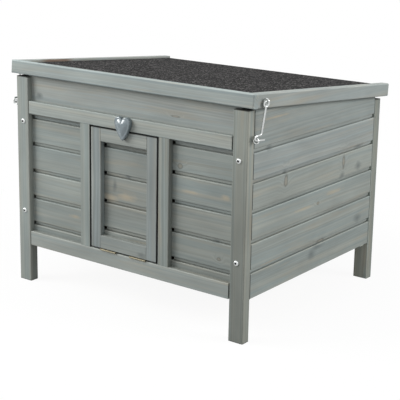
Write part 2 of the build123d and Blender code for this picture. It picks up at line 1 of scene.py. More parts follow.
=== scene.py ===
# %% [markdown]
# A small wooden house for rodents, dressed for a studio picture.
# The measured model comes in as a fixed frame: every leg, board and hinge is
# already in its place, in metres. This script gives the pieces their finish,
# makes the small hardware round and smooth, and sets the camera and the lights.
# Nothing measured is moved, so the picture shows the house as it is built.

# %% Load the frame
import math

import bmesh
import bpy
from mathutils import Matrix, Vector


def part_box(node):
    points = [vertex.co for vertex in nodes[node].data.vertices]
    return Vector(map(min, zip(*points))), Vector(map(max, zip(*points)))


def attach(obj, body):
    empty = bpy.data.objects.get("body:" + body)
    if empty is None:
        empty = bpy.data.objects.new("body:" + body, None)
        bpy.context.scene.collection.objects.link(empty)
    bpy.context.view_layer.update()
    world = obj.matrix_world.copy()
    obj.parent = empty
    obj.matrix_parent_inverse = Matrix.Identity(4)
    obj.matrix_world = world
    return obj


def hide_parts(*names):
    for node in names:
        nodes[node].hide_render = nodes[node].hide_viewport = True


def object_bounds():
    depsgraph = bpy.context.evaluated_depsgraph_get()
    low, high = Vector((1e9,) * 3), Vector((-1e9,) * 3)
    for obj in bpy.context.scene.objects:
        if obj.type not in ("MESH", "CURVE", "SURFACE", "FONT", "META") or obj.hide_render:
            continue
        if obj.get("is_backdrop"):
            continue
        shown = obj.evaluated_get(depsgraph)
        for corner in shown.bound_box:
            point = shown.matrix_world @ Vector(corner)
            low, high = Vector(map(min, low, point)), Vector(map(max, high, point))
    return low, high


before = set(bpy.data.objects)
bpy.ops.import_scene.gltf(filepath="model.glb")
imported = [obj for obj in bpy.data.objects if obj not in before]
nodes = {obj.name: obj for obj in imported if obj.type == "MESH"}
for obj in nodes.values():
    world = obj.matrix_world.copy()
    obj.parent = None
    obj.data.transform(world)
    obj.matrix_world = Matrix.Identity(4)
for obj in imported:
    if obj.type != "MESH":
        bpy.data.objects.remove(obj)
cad_low, cad_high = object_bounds()
MM = 0.001
print("nodes:", len(nodes), "box:", [round(v, 4) for v in (*cad_low, *cad_high)])

# %% [markdown]
# Materials and Geometry Nodes are both trees of nodes. They could be drawn in
# the node editors, but a script can be read from top to bottom and run again.
# Two helpers keep it short: one turns a colour as it stands on a paint chart
# (sRGB hex) into the linear numbers that Blender works in, and one adds a node,
# sets it up, links its inputs and hands back its outputs.

# %% Colour and node helpers
def linear(hex_colour):
    """An sRGB hex colour as linear red, green, blue and alpha."""
    parts = [int(hex_colour[i:i + 2], 16) / 255 for i in (1, 3, 5)]
    return [c / 12.92 if c <= 0.04045 else ((c + 0.055) / 1.055) ** 2.4 for c in parts] + [1.0]


def add_node(tree, kind, inputs=None, stops=None, **settings):
    """Adds one node and returns its outputs; an input is a plain value or another node's output."""
    node = tree.nodes.new(kind)
    for name, value in settings.items():
        setattr(node, name, value)
    for key, value in (inputs or {}).items():
        if isinstance(value, bpy.types.NodeSocket):
            tree.links.new(value, node.inputs[key])
        else:
            node.inputs[key].default_value = value
    if stops:
        elements = node.color_ramp.elements
        while len(elements) < len(stops):
            elements.new(1.0)
        for element, (position, colour) in zip(elements, stops):
            element.position = position
            element.color = linear(colour)
    return node.outputs


def new_material(name):
    """A node material and its empty tree."""
    material = bpy.data.materials.new(name)
    material.use_nodes = True
    material.node_tree.nodes.clear()
    return material, material.node_tree


print("white in linear numbers:", linear("#ffffff"))

# %% [markdown]
# The timber is planed fir under a thin grey stain. A wall is built of boards
# from different trees, so no streak runs on from one board into the next. Each
# board could have a material of its own, but there are dozens of them. One
# material does for a whole wall if it counts the courses by their height, and
# moves its pattern by a random step for each.

# %% Stained fir: own pattern for each board
COURSE_PITCH = 49 * MM
BOARD_STEP = 4.0


def own_plank(tree, place, height, seed, course_top):
    """Moves the pattern by a random step for each board, and draws that board's own tone."""
    plank = seed
    if course_top is not None:
        risen = add_node(tree, "ShaderNodeMath", {0: height, 1: course_top}, operation="SUBTRACT")[0]
        course = add_node(tree, "ShaderNodeMath", {0: risen, 1: COURSE_PITCH}, operation="DIVIDE")[0]
        whole = add_node(tree, "ShaderNodeMath", {0: course}, operation="FLOOR")[0]
        plank = add_node(tree, "ShaderNodeMath", {0: whole, 1: seed}, operation="ADD")[0]
    chance = add_node(tree, "ShaderNodeTexWhiteNoise", {"W": plank}, noise_dimensions="1D")
    drawn = {0: chance["Color"], "Scale": BOARD_STEP}
    step = add_node(tree, "ShaderNodeVectorMath", drawn, operation="SCALE")[0]
    moved = add_node(tree, "ShaderNodeVectorMath", {0: place, 1: step}, operation="ADD")[0]
    return moved, chance["Value"]


print("board pitch in mm:", COURSE_PITCH / MM)

# %% [markdown]
# The stain lets the grain through: soft streaks, and fine dark lines of late
# wood, the slow summer growth of each year. A photograph of wood would repeat
# and blur, and plain noise looks like cloth. So the streaks are noise drawn out
# along the grain, and the lines are drawn as the saw cuts growth rings: spaced
# across the piece, led astray by a slow noise, and pushed aside by a knot.

# %% Stained fir: streaks and late wood
# Length along the grain and width across it
STREAK = (900 * MM, 8 * MM)
PATCH = (170 * MM, 13 * MM)
BLOTCH = (130 * MM, 32 * MM)
WANDER = (700 * MM, 55 * MM)
NOISE_DETAIL = 3.0
NOISE_ROUGHNESS = 0.55
# Real late wood lies 1 to 3 mm apart; the lines are drawn a little coarser so that they show
LINE_SPACING = 4.0 * MM
LINE_WANDER = 34 * MM
LINE_DETAIL = 2.0
LINE_ROUGHNESS = 0.6
LINE_RANGE = (0.3, 0.7)
KNOT_PUSH = 9 * MM
KNOT_SWELL = (0.5, 4.0)


def drawn_out(tree, place, axis, size):
    """Soft noise that is long along the grain and narrow across it."""
    length, width = size
    scale = [1 / length if i == axis else 1 / width for i in range(3)]
    along = add_node(tree, "ShaderNodeMapping", {"Vector": place, "Scale": scale})[0]
    noise = {"Vector": along, "Scale": 1.0, "Detail": NOISE_DETAIL, "Roughness": NOISE_ROUGHNESS}
    return add_node(tree, "ShaderNodeTexNoise", noise)["Fac"]


def late_wood(tree, moved, wander, axis, knot_reach):
    """Lines of late wood from 0 to 1, which wander along the piece and swell round a knot."""
    sideways = [0 if i == axis else 1 for i in range(3)]
    across = add_node(
        tree, "ShaderNodeVectorMath", {0: moved, 1: sideways}, operation="DOT_PRODUCT"
    )["Value"]
    astray = {0: wander, 1: LINE_WANDER, 2: across}
    led = add_node(tree, "ShaderNodeMath", astray, operation="MULTIPLY_ADD")[0]
    swell = {
        "Value": knot_reach, "From Min": KNOT_SWELL[0], "From Max": KNOT_SWELL[1],
        "To Min": KNOT_PUSH, "To Max": 0.0,
    }
    push = add_node(tree, "ShaderNodeMapRange", swell, interpolation_type="SMOOTHSTEP")[0]
    pushed = add_node(tree, "ShaderNodeMath", {0: led, 1: push}, operation="ADD")[0]
    rings = {"W": pushed, "Scale": 1 / LINE_SPACING, "Detail": LINE_DETAIL, "Roughness": LINE_ROUGHNESS}
    lines = add_node(tree, "ShaderNodeTexNoise", rings, noise_dimensions="1D")["Fac"]
    contrast = {"Value": lines, "From Min": LINE_RANGE[0], "From Max": LINE_RANGE[1]}
    return add_node(tree, "ShaderNodeMapRange", contrast)[0]


print("late wood lines in mm:", LINE_SPACING / MM)

# %% [markdown]
# A few marks make the boards these boards: knots with a tan heart and a dark rim, bluish smudges where a knot
# lies under the surface, and pale flecks. They could be left to chance, but a handful set one by one reads
# better. Each mark is its place along the wall and its height, then half its length and half its height, in
# millimetres. A mark is an ellipsoid, so how deep a point lies in it is one stretched distance, and the
# nearest mark decides.

# %% Stained fir: the marks on the walls
FRONT_MARKS = {
    "wall": 201.5,
    "knots": ((102, 349, 9, 1.8), (113, 269, 6, 5), (193, 128, 4, 3)),
    "smudges": ((-203, 346, 8, 6), (187, 157, 9, 4), (2, 231, 7, 4), (-27, 213, 5, 12), (40, 105, 9, 5)),
    "flecks": ((137, 229, 20, 3), (205, 232, 10, 5), (-36, 189, 17, 8), (-2, 196, 20, 7), (-119, 140, 12, 4)),
}
SIDE_MARKS = {
    "wall": 249.0,
    "knots": ((-97, 247, 6, 11), (90, 245, 5, 11), (8, 187, 4, 3), (24, 116, 12, 3)),
    "smudges": (
        (143, 228, 13, 8), (150, 129, 13, 9), (12, 108, 24, 5), (-8, 100, 15, 9), (87, 221, 10, 6),
        (-98, 262, 7, 5), (-147, 311, 10, 5), (144, 264, 16, 5),
    ),
    "flecks": ((-39, 187, 26, 3), (-130, 358, 45, 2), (-130, 119, 45, 2), (60, 197, 30, 4)),
}
# The axes of the house: left to right, front to rear, and up
ACROSS, DEEP, UPRIGHT = 0, 1, 2
MARK_DEPTH = 40 * MM
NO_MARK = 9.0
RIM_RAGGED = (12 * MM, 12 * MM)
RAGGED_SHARE = (0.4, 1.6)


def nearest_mark(tree, place, split, marks, kind, axis):
    """Distance to the nearest mark, in shares of its size; two opposite walls carry the same ones."""
    depth = DEEP if axis == ACROSS else ACROSS
    wall = marks["wall"] * MM
    off_middle = add_node(tree, "ShaderNodeMath", {0: split[depth]}, operation="ABSOLUTE")[0]
    one_wall = {axis: split[axis], depth: off_middle, UPRIGHT: split[UPRIGHT]}
    folded = add_node(tree, "ShaderNodeCombineXYZ", one_wall)[0]
    nearest = NO_MARK
    for along, up, half_along, half_up in marks[kind]:
        middle = [wall, wall, up * MM]
        middle[axis] = along * MM
        size = [MARK_DEPTH, MARK_DEPTH, half_up * MM]
        size[axis] = half_along * MM
        spot = {"Vector": folded, "Location": middle, "Scale": size}
        inside = add_node(tree, "ShaderNodeMapping", spot, vector_type="TEXTURE")[0]
        reach = add_node(tree, "ShaderNodeVectorMath", {0: inside}, operation="LENGTH")["Value"]
        nearest = add_node(tree, "ShaderNodeMath", {0: nearest, 1: reach}, operation="MINIMUM")[0]
    ragged = drawn_out(tree, place, axis, RIM_RAGGED)
    uneven = {"Value": ragged, "To Min": RAGGED_SHARE[0], "To Max": RAGGED_SHARE[1]}
    edge = add_node(tree, "ShaderNodeMapRange", uneven)[0]
    return add_node(tree, "ShaderNodeMath", {0: nearest, 1: edge}, operation="MULTIPLY")[0]


print("marks:", sum(len(wall[kind]) for wall in (FRONT_MARKS, SIDE_MARKS) for kind in list(wall)[1:]))

# %% [markdown]
# Stained wood is never one grey. It goes from cool to warm along the streaks,
# each plank takes the stain a little differently, broad blotches come and go,
# and tan wood shows where the stain is thin. A colour ramp over one noise would
# tie all of this together. Here each cause has a noise of its own size, so that
# they cross as they do on real boards.

# %% Stained fir: the tone of the stain
COOL_SHARE = (0.86, 0.93, 0.98)
WARM_SHARE = (1.1, 1.055, 1.01)
OWN_TONE = 0.24
TONE_RANGE = (0.25, 0.75)
BLOTCH_RANGE = (0.3, 0.7)
BLOTCH_SHARE = (0.88, 1.1)
TAN_PATCH = "#a3967f"
PATCH_RANGE = (0.56, 0.76)
PATCH_STRENGTH = 0.38


def scaled(colour, shares):
    """A linear colour with each channel multiplied."""
    return [c * s for c, s in zip(colour, shares)] + [1.0]


def fir_tone(tree, moved, axis, stain, own_tone):
    """The stain between its cool and its warm side, with tan patches where it took less."""
    streaks = drawn_out(tree, moved, axis, STREAK)
    about_zero = {0: own_tone, 1: OWN_TONE, 2: -OWN_TONE / 2}
    tilt = add_node(tree, "ShaderNodeMath", about_zero, operation="MULTIPLY_ADD")[0]
    tone = add_node(tree, "ShaderNodeMath", {0: streaks, 1: tilt}, operation="ADD")[0]
    spread = {"Value": tone, "From Min": TONE_RANGE[0], "From Max": TONE_RANGE[1]}
    warmth = add_node(tree, "ShaderNodeMapRange", spread)[0]
    grey = linear(stain)
    cool_to_warm = {"Factor": warmth, 6: scaled(grey, COOL_SHARE), 7: scaled(grey, WARM_SHARE)}
    base = add_node(tree, "ShaderNodeMix", cool_to_warm, data_type="RGBA")[2]
    blotches = {
        "Value": drawn_out(tree, moved, axis, BLOTCH),
        "From Min": BLOTCH_RANGE[0], "From Max": BLOTCH_RANGE[1],
        "To Min": BLOTCH_SHARE[0], "To Max": BLOTCH_SHARE[1],
    }
    level = add_node(tree, "ShaderNodeMapRange", blotches)[0]
    base = add_node(tree, "ShaderNodeVectorMath", {0: base, "Scale": level}, operation="SCALE")[0]
    patches = {
        "Value": drawn_out(tree, moved, axis, PATCH),
        "From Min": PATCH_RANGE[0], "From Max": PATCH_RANGE[1], "To Max": PATCH_STRENGTH,
    }
    thin = add_node(tree, "ShaderNodeMapRange", patches)[0]
    tan = {"Factor": thin, 6: base, 7: linear(TAN_PATCH)}
    return add_node(tree, "ShaderNodeMix", tan, data_type="RGBA")[2]


print("tan patches in mm:", [size / MM for size in PATCH])

# %% [markdown]
# The marks are laid over the stain as a painter would glaze them: flecks first,
# then smudges, then knots. They could be pieces of geometry, but they have no
# thickness, so colour alone is right. Each kind has an edge where it starts, a
# heart where it is strongest, and a strength that lets some stain through.

# %% Stained fir: the colours of the marks
TAN_FLECK = "#b4a58b"
SMUDGE = "#596061"
KNOT_COLOURS = ((0.0, "#8e8778"), (0.55, "#847e71"), (0.8, "#52514d"), (1.0, "#686864"))
MARK_EDGE = 1.2
# Where the mark is strongest, and its strength there
FLECK_HEART = (0.2, 0.5)
SMUDGE_HEART = (0.1, 0.7)
KNOT_HEART = (0.85, 0.6)


def with_marks(tree, base, knot_reach, place, split, marks, axis):
    """Lays the flecks, the smudges and the knots over the stain."""
    heart_to_rim = add_node(tree, "ShaderNodeValToRGB", {"Fac": knot_reach}, stops=KNOT_COLOURS)["Color"]
    fleck_reach = nearest_mark(tree, place, split, marks, "flecks", axis)
    smudge_reach = nearest_mark(tree, place, split, marks, "smudges", axis)
    layers = (
        (fleck_reach, FLECK_HEART, linear(TAN_FLECK)),
        (smudge_reach, SMUDGE_HEART, linear(SMUDGE)),
        (knot_reach, KNOT_HEART, heart_to_rim),
    )
    for reach, (heart, strength), colour in layers:
        fade = {"Value": reach, "From Min": MARK_EDGE, "From Max": heart, "To Max": strength}
        share = add_node(tree, "ShaderNodeMapRange", fade)[0]
        glaze = {"Factor": share, 6: base, 7: colour}
        base = add_node(tree, "ShaderNodeMix", glaze, data_type="RGBA")[2]
    return base


print("knot colours:", len(KNOT_COLOURS))

# %% [markdown]
# The inner faces of the side trims were sprayed after the felt was on, and a
# strip near the front was missed: the wood is brown there. It could be a thin
# extra piece, but nothing is raised. So the material mixes in the brown where a
# point lies inside the trim's inner face and close to the strip's middle.

# %% Stained fir: the bare strip
BARE_BROWN = "#7f6d60"


def with_bare_strip(tree, base, split, strip):
    """Leaves a strip of a side trim brown; strip is its inner face, its middle and half its length."""
    inner_x, middle_y, half_length = strip
    off_middle = add_node(tree, "ShaderNodeMath", {0: split[ACROSS]}, operation="ABSOLUTE")[0]
    inner = add_node(tree, "ShaderNodeMath", {0: off_middle, 1: inner_x}, operation="LESS_THAN")[0]
    off = add_node(tree, "ShaderNodeMath", {0: split[DEEP], 1: middle_y}, operation="SUBTRACT")[0]
    away = add_node(tree, "ShaderNodeMath", {0: off}, operation="ABSOLUTE")[0]
    fade = {"Value": away, "From Min": half_length, "From Max": half_length / 2}
    near = add_node(tree, "ShaderNodeMapRange", fade)[0]
    left_bare = add_node(tree, "ShaderNodeMath", {0: inner, 1: near}, operation="MULTIPLY")[0]
    brown = {"Factor": left_bare, 6: base, 7: linear(BARE_BROWN)}
    return add_node(tree, "ShaderNodeMix", brown, data_type="RGBA")[2]


print("bare strip:", BARE_BROWN)

# %% [markdown]
# Painted light and shade: the top lip of each board and rail is painted lighter, as light from above makes
# it, and the groove above it is painted darker, as shade in the recess makes it. The pieces that stand near
# the ground have painted shade towards the foot. All of this only makes the stain paler or darker, so each
# helper returns a share that the colour is multiplied by. The boards are all of one pitch, so the remainder
# of the height finds every lip and groove at once.

# %% Stained fir: painted highlights on lips, painted shade in grooves and at the foot
LIP_HEIGHT = 2.4 * MM
LIP_HIGHLIGHT_SHARE = 1.36
GROOVE_HEIGHT = 7.0 * MM
GROOVE_SHADE_SHARE = 0.9
GROOVE_BLUR = 0.7 * MM
# Painted shade and light on the sides of a leg: shares at the foot and at the top
SIDE_SHADE_AND_LIGHT = (0.82, 1.1)


def lip_highlight_and_groove_shade_shares(tree, height, course_top):
    """Painted highlight on the top lip of each board, and painted shade in the groove above it."""
    risen = add_node(tree, "ShaderNodeMath", {0: height, 1: course_top}, operation="SUBTRACT")[0]
    pitch = {0: risen, 1: COURSE_PITCH}
    above = add_node(tree, "ShaderNodeMath", pitch, operation="FLOORED_MODULO")[0]
    lip = {
        "Value": above, "From Min": COURSE_PITCH - LIP_HEIGHT, "From Max": COURSE_PITCH,
        "To Min": 1.0, "To Max": LIP_HIGHLIGHT_SHARE,
    }
    groove = {
        "Value": above, "From Min": GROOVE_HEIGHT - GROOVE_BLUR, "From Max": GROOVE_HEIGHT,
        "To Min": GROOVE_SHADE_SHARE, "To Max": 1.0,
    }
    return [add_node(tree, "ShaderNodeMapRange", part)[0] for part in (lip, groove)]


def foot_shade_share(tree, split, foot):
    """Painted shade towards the ground; behind a given depth, the sides have shares of their own."""
    share, low, high, front_y = foot
    fade = {"Value": split[UPRIGHT], "From Min": low, "From Max": high}
    level = add_node(tree, "ShaderNodeMapRange", {**fade, "To Min": share, "To Max": 1.0})[0]
    if front_y is None:
        return level
    past_front = {0: split[DEEP], 1: front_y}
    behind = add_node(tree, "ShaderNodeMath", past_front, operation="GREATER_THAN")[0]
    side_fade = {**fade, "To Min": SIDE_SHADE_AND_LIGHT[0], "To Max": SIDE_SHADE_AND_LIGHT[1]}
    side = add_node(tree, "ShaderNodeMapRange", side_fade)[0]
    return add_node(tree, "ShaderNodeMix", {"Factor": behind, 2: level, 3: side}, data_type="FLOAT")[0]


print("worn lip in mm:", LIP_HEIGHT / MM)

# %% [markdown]
# Painted shade: close to an edge that meets a gap or a joint, a piece is darkened, some nearly to black, so
# that the gaps round the door, under the roof and beside the legs read dark; the front face of the rear legs
# is painted lighter instead. The top edges of the roof trims are painted lighter, as light from above makes
# them. Each face could have its own material slot, but the measured meshes stay as they are. A point knows
# how far it is from the edge of its piece, and that is all the material needs.

# %% Stained fir: painted shade at edges and painted light on trim tops
EDGE_WIDTH = 1.3 * MM
EDGE_DARK = 0.6 * MM
TOP_LIGHT_BAND = 1.6 * MM
TOP_LIGHT_SHARE = 1.45
ROOF_FALL = math.tan(math.radians(4.8))
# Further than any piece reaches, so that only one edge of a pair counts
FAR = 1.0


def both_edges(node, axis, share):
    """The two edges of a piece along an axis, for painted shade: (axis, middle, half size, share of the
    tone).
    """
    low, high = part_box(node)
    return axis, (low[axis] + high[axis]) / 2, (high[axis] - low[axis]) / 2, share


def low_edge(node, axis, share):
    """Only the edge of a piece at its lower end."""
    return axis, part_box(node)[0][axis] + FAR, FAR, share


def high_edge(node, axis, share):
    """Only the edge of a piece at its upper end."""
    return axis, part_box(node)[1][axis] - FAR, FAR, share


def painted_edge_shares(tree, split, edge_shade_and_light):
    """Painted shade near the edges, and painted light where a share is above one; x is measured from the
    middle of the house, for both sides at once.
    """
    off_middle = add_node(tree, "ShaderNodeMath", {0: split[ACROSS]}, operation="ABSOLUTE")[0]
    shares = []
    for axis, middle, half, share in edge_shade_and_light:
        value = off_middle if axis == ACROSS else split[axis]
        off = add_node(tree, "ShaderNodeMath", {0: value, 1: middle}, operation="SUBTRACT")[0]
        away = add_node(tree, "ShaderNodeMath", {0: off}, operation="ABSOLUTE")[0]
        edge = {
            "Value": away, "From Min": half - EDGE_WIDTH, "From Max": half - EDGE_DARK,
            "To Min": 1.0, "To Max": share,
        }
        shares.append(add_node(tree, "ShaderNodeMapRange", edge)[0])
    return shares


def painted_top_light_share(tree, split, top):
    """Painted light on the top edge of a trim, which falls to the rear; top is its height at the middle."""
    fall = {0: split[DEEP], 1: ROOF_FALL, 2: split[UPRIGHT]}
    level = add_node(tree, "ShaderNodeMath", fall, operation="MULTIPLY_ADD")[0]
    lit_band = {
        "Value": level, "From Min": top - TOP_LIGHT_BAND, "From Max": top - TOP_LIGHT_BAND / 2,
        "To Min": 1.0, "To Max": TOP_LIGHT_SHARE,
    }
    return add_node(tree, "ShaderNodeMapRange", lit_band)[0]


print("sawn edge in mm:", EDGE_WIDTH / MM)

# %% [markdown]
# The late wood is not equally dark all over: it stands out in one stretch of a
# board and nearly vanishes in the next. The narrow uprights are sawn so that
# their lines lie close and bold. One depth for all lines would look printed, so
# the slow noise that leads the lines astray also sets how dark they are.

# %% Stained fir: the depth of the late wood
# Share of the tone that a faint and a bold line of late wood leaves
BOARD_LINES = (0.97, 0.82)
UPRIGHT_LINES = (0.9, 0.74)
CLEAR_RANGE = (0.35, 0.65)
BETWEEN_LINES = 1.06


def line_share(tree, wander, axis, lines):
    """How far the late wood darkens the stain: bold in some stretches, faint in others."""
    faint, bold = UPRIGHT_LINES if axis == UPRIGHT else BOARD_LINES
    clear = {
        "Value": wander, "From Min": CLEAR_RANGE[0], "From Max": CLEAR_RANGE[1],
        "To Min": faint, "To Max": bold,
    }
    depth = add_node(tree, "ShaderNodeMapRange", clear)[0]
    dark_to_pale = {"Value": lines, "To Min": depth, "To Max": BETWEEN_LINES}
    return add_node(tree, "ShaderNodeMapRange", dark_to_pale)[0]


print("late wood leaves of the tone:", BOARD_LINES, UPRIGHT_LINES)

# %% [markdown]
# Now the parts come together in one finish for a piece whose grain runs along a given axis. The stain is laid
# first, the late wood darkens it, the marks go on top, and painted shade and painted highlights have the last
# word. The surface is planed and matt, so a slight bump from the late wood and a high roughness are all the
# relief it needs.

# %% Stained fir: the finish
FIR_ROUGHNESS = 0.7
FIR_SHINE = 0.3
GRAIN_STRENGTH = 0.1
GRAIN_RELIEF = 0.2 * MM


def stained_fir(
    name, axis, seed, stain, course_top=None, marks=None, foot=None, edge_shade_and_light=(), top=None, strip=None
):
    """Planed fir, grain along an axis; course_top is the top edge of a rail or of one board of a wall."""
    # Matt and cloudy grey to the eye, with fine dark lines, and painted shade and highlights near edges
    material, tree = new_material(name)
    place = add_node(tree, "ShaderNodeTexCoord")["Object"]
    split = add_node(tree, "ShaderNodeSeparateXYZ", {0: place})
    moved, own_tone = own_plank(tree, place, split[UPRIGHT], seed, course_top)
    wander = drawn_out(tree, moved, axis, WANDER)
    knot_reach = nearest_mark(tree, place, split, marks, "knots", axis) if marks else NO_MARK
    lines = late_wood(tree, moved, wander, axis, knot_reach)
    base = fir_tone(tree, moved, axis, stain, own_tone)
    lined = {0: base, "Scale": line_share(tree, wander, axis, lines)}
    base = add_node(tree, "ShaderNodeVectorMath", lined, operation="SCALE")[0]
    if marks:
        base = with_marks(tree, base, knot_reach, place, split, marks, axis)
    # Painted shade and light: edges, lips, grooves, the foot and the tops of the trims
    shares = painted_edge_shares(tree, split, edge_shade_and_light)
    if course_top is not None:
        shares += lip_highlight_and_groove_shade_shares(tree, split[UPRIGHT], course_top)
    if foot:
        shares.append(foot_shade_share(tree, split, foot))
    if top is not None:
        shares.append(painted_top_light_share(tree, split, top))
    for share in shares:
        base = add_node(tree, "ShaderNodeVectorMath", {0: base, "Scale": share}, operation="SCALE")[0]
    if strip:
        base = with_bare_strip(tree, base, split, strip)
    relief = {"Height": lines, "Strength": GRAIN_STRENGTH, "Distance": GRAIN_RELIEF}
    grain = add_node(tree, "ShaderNodeBump", relief)[0]
    surface = add_node(tree, "ShaderNodeBsdfPrincipled", {
        "Base Color": base, "Roughness": FIR_ROUGHNESS, "Specular IOR Level": FIR_SHINE, "Normal": grain,
    })[0]
    add_node(tree, "ShaderNodeOutputMaterial", {"Surface": surface})
    return material


print("roughness of stained fir:", FIR_ROUGHNESS)

# %% [markdown]
# Some sizes follow from the measured pieces: the top edge of one board in each wall, the edges that get
# painted shade, and how far up the painted shade at the foot reaches. They could be typed into each material,
# but named once they can be checked against the model, and a changed model moves most of them along.

# %% Stained fir: lips, feet and edges of this house
SIDE_TOP = 112.5 * MM
FRONT_TOP = 105.8 * MM
DOOR_TOP = 129.0 * MM
UPPER_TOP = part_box("front_upper_rail")[1].z
LOWER_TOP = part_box("front_lower_rail")[1].z
trim_low, trim_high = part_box("roof_trim_front")
TRIM_TOP = trim_high.z + ROOF_FALL * trim_low.y
BARE_STRIP = (246.2 * MM, -112 * MM, 46 * MM)
# Painted shade at the foot: its share, the heights between which it fades, and the depth where a leg's front
# ends
LEG_FRONT = 0.8 * MM
RIGHT_LEG_FOOT_SHADE = (0.66, 190 * MM, 330 * MM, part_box("leg_front_right")[0].y + LEG_FRONT)
WALL_FOOT_SHADE = (0.86, 100 * MM, 200 * MM, None)
RIGHT_WALL_FOOT_SHADE = (0.78, 100 * MM, 230 * MM, None)
# Painted shade near edges that meet gaps and joints, so that they read dark; the rear legs' ends are darkened
# and their front face painted lighter
POST_EDGE_SHADE = [low_edge("door_post_right", ACROSS, 0.1), high_edge("door_post_right", ACROSS, 0.78)]
DOOR_GAP_SHADE = [high_edge("door_stile_right", ACROSS, 0.1), both_edges("door_stile_right", UPRIGHT, 0.1)]
SIDE_END_SHADE = [both_edges("side_right_board_3", DEEP, 0.5)]
FRONT_LEG_END_SHADE = [both_edges("leg_front_right", UPRIGHT, 0.15)]
HEADER_EDGE_SHADE = [both_edges("front_header_board", UPRIGHT, 0.2)]
REAR_LEG_SHADE_AND_LIGHT = [both_edges("leg_rear_right", UPRIGHT, 0.5), low_edge("leg_rear_right", DEEP, 1.9)]
print("rail tops in mm:", round(UPPER_TOP / MM, 1), round(LOWER_TOP / MM, 1))

# %% [markdown]
# One finish for each kind of timber. Their greys differ a little: the top rail and the trims are palest, the
# door darkest. One grey for all would look like plastic. The right post gets a darker copy of the post finish
# and the right front boards a copy with more shade at the foot, both painted shade, and the right front leg
# has painted shade towards the ground. The floor is bare wood, and the roof's boards below the felt are
# painted a dark brown as shade for the gaps under the roof.

# %% Stained fir: the finishes
# Name, direction of the grain, start of the random draws, grey of the stain, and what else it has
fir = {
    "upper_rail": stained_fir("stained_fir_upper_rail", ACROSS, 11.0, "#969c98", UPPER_TOP),
    "rail": stained_fir("stained_fir_rails", ACROSS, 15.0, "#929793", LOWER_TOP, FRONT_MARKS),
    "post": stained_fir("stained_fir_left_post", UPRIGHT, 23.0, "#939994", edge_shade_and_light=POST_EDGE_SHADE),
    # Painted shade: a darker copy of the post stain for the right post, where less light falls
    "shaded_post": stained_fir("stained_fir_right_post_shaded", UPRIGHT, 23.0, "#898e89", edge_shade_and_light=POST_EDGE_SHADE),
    "stile": stained_fir("stained_fir_stiles", UPRIGHT, 27.0, "#8c9290", edge_shade_and_light=DOOR_GAP_SHADE),
    "door_rail": stained_fir(
        "stained_fir_door_rails", ACROSS, 17.0, "#8b918e", marks=FRONT_MARKS, edge_shade_and_light=DOOR_GAP_SHADE
    ),
    "leg": stained_fir("stained_fir_left_leg", UPRIGHT, 29.0, "#949994", edge_shade_and_light=FRONT_LEG_END_SHADE),
    "rear_leg": stained_fir("stained_fir_rear_legs", UPRIGHT, 35.0, "#818680", edge_shade_and_light=REAR_LEG_SHADE_AND_LIGHT),
    # Painted shade: the right front leg is darkened towards the ground
    "foot_shaded_leg": stained_fir(
        "stained_fir_right_leg", UPRIGHT, 39.0, "#979a92", foot=RIGHT_LEG_FOOT_SHADE, edge_shade_and_light=FRONT_LEG_END_SHADE
    ),
    "front": stained_fir(
        "stained_fir_front_boards", ACROSS, 31.0, "#909590", FRONT_TOP, FRONT_MARKS, WALL_FOOT_SHADE
    ),
    # Painted shade: a copy of the front boards with stronger darkening at the foot, for the right side
    "front_right": stained_fir(
        "stained_fir_front_boards_right_shaded", ACROSS, 31.0, "#909590", FRONT_TOP, FRONT_MARKS, RIGHT_WALL_FOOT_SHADE
    ),
    "door": stained_fir("stained_fir_door_boards", ACROSS, 53.0, "#888c87", DOOR_TOP, FRONT_MARKS),
    "side": stained_fir(
        "stained_fir_side_boards", DEEP, 47.0, "#919691", SIDE_TOP, SIDE_MARKS, edge_shade_and_light=SIDE_END_SHADE
    ),
    "pale_side": stained_fir(
        "stained_fir_pale_side_board", DEEP, 43.0, "#979b97", SIDE_TOP, SIDE_MARKS, edge_shade_and_light=SIDE_END_SHADE
    ),
    "header": stained_fir(
        "stained_fir_header", ACROSS, 71.0, "#989b96", marks=FRONT_MARKS, edge_shade_and_light=HEADER_EDGE_SHADE
    ),
    "wedge": stained_fir("stained_fir_wedge", DEEP, 83.0, "#8f9490", marks=SIDE_MARKS, edge_shade_and_light=SIDE_END_SHADE),
    "front_trim": stained_fir("stained_fir_front_trim", ACROSS, 5.0, "#959d9b", top=TRIM_TOP),
    "side_trim": stained_fir(
        "stained_fir_side_trim", DEEP, 7.0, "#949996", top=TRIM_TOP, strip=BARE_STRIP
    ),
    # Planed and left raw: warm and yellow, with the same grain
    "bare": stained_fir("bare_fir_panels", ACROSS, 61.0, "#bb9564"),
    # Painted shade: a dull dark brown in which the grain is nearly lost, so that the gaps under the roof,
    # where the panel shows through, read dark
    "shade_dark_panel": stained_fir("shade_dark_fir_roof_panel", ACROSS, 63.0, "#5a5147"),
}
print("timber finishes:", len(fir))

# %% [markdown]
# Roofing felt is a mat soaked in bitumen and rolled with crushed slate. The
# grit is what the eye sees: a charcoal ground with paler and darker grains. The
# grains could be scattered as geometry, but there would be a hundred thousand.
# A Voronoi pattern gives each cell one random grey, which is just what a grain
# has, and the same draw lifts it in a bump.

# %% Roofing felt
# Real grit is about 1 mm across, which would blur to a flat grey from here, so it is drawn coarser
GRIT = 2.4 * MM
GRIT_COLOURS = ((0.0, "#080808"), (0.45, "#161616"), (0.8, "#302f2f"), (1.0, "#7f7c7b"))
GRIT_RELIEF = 1.0 * MM
FELT_ROUGHNESS = 0.95
FELT_SHINE = 0.15


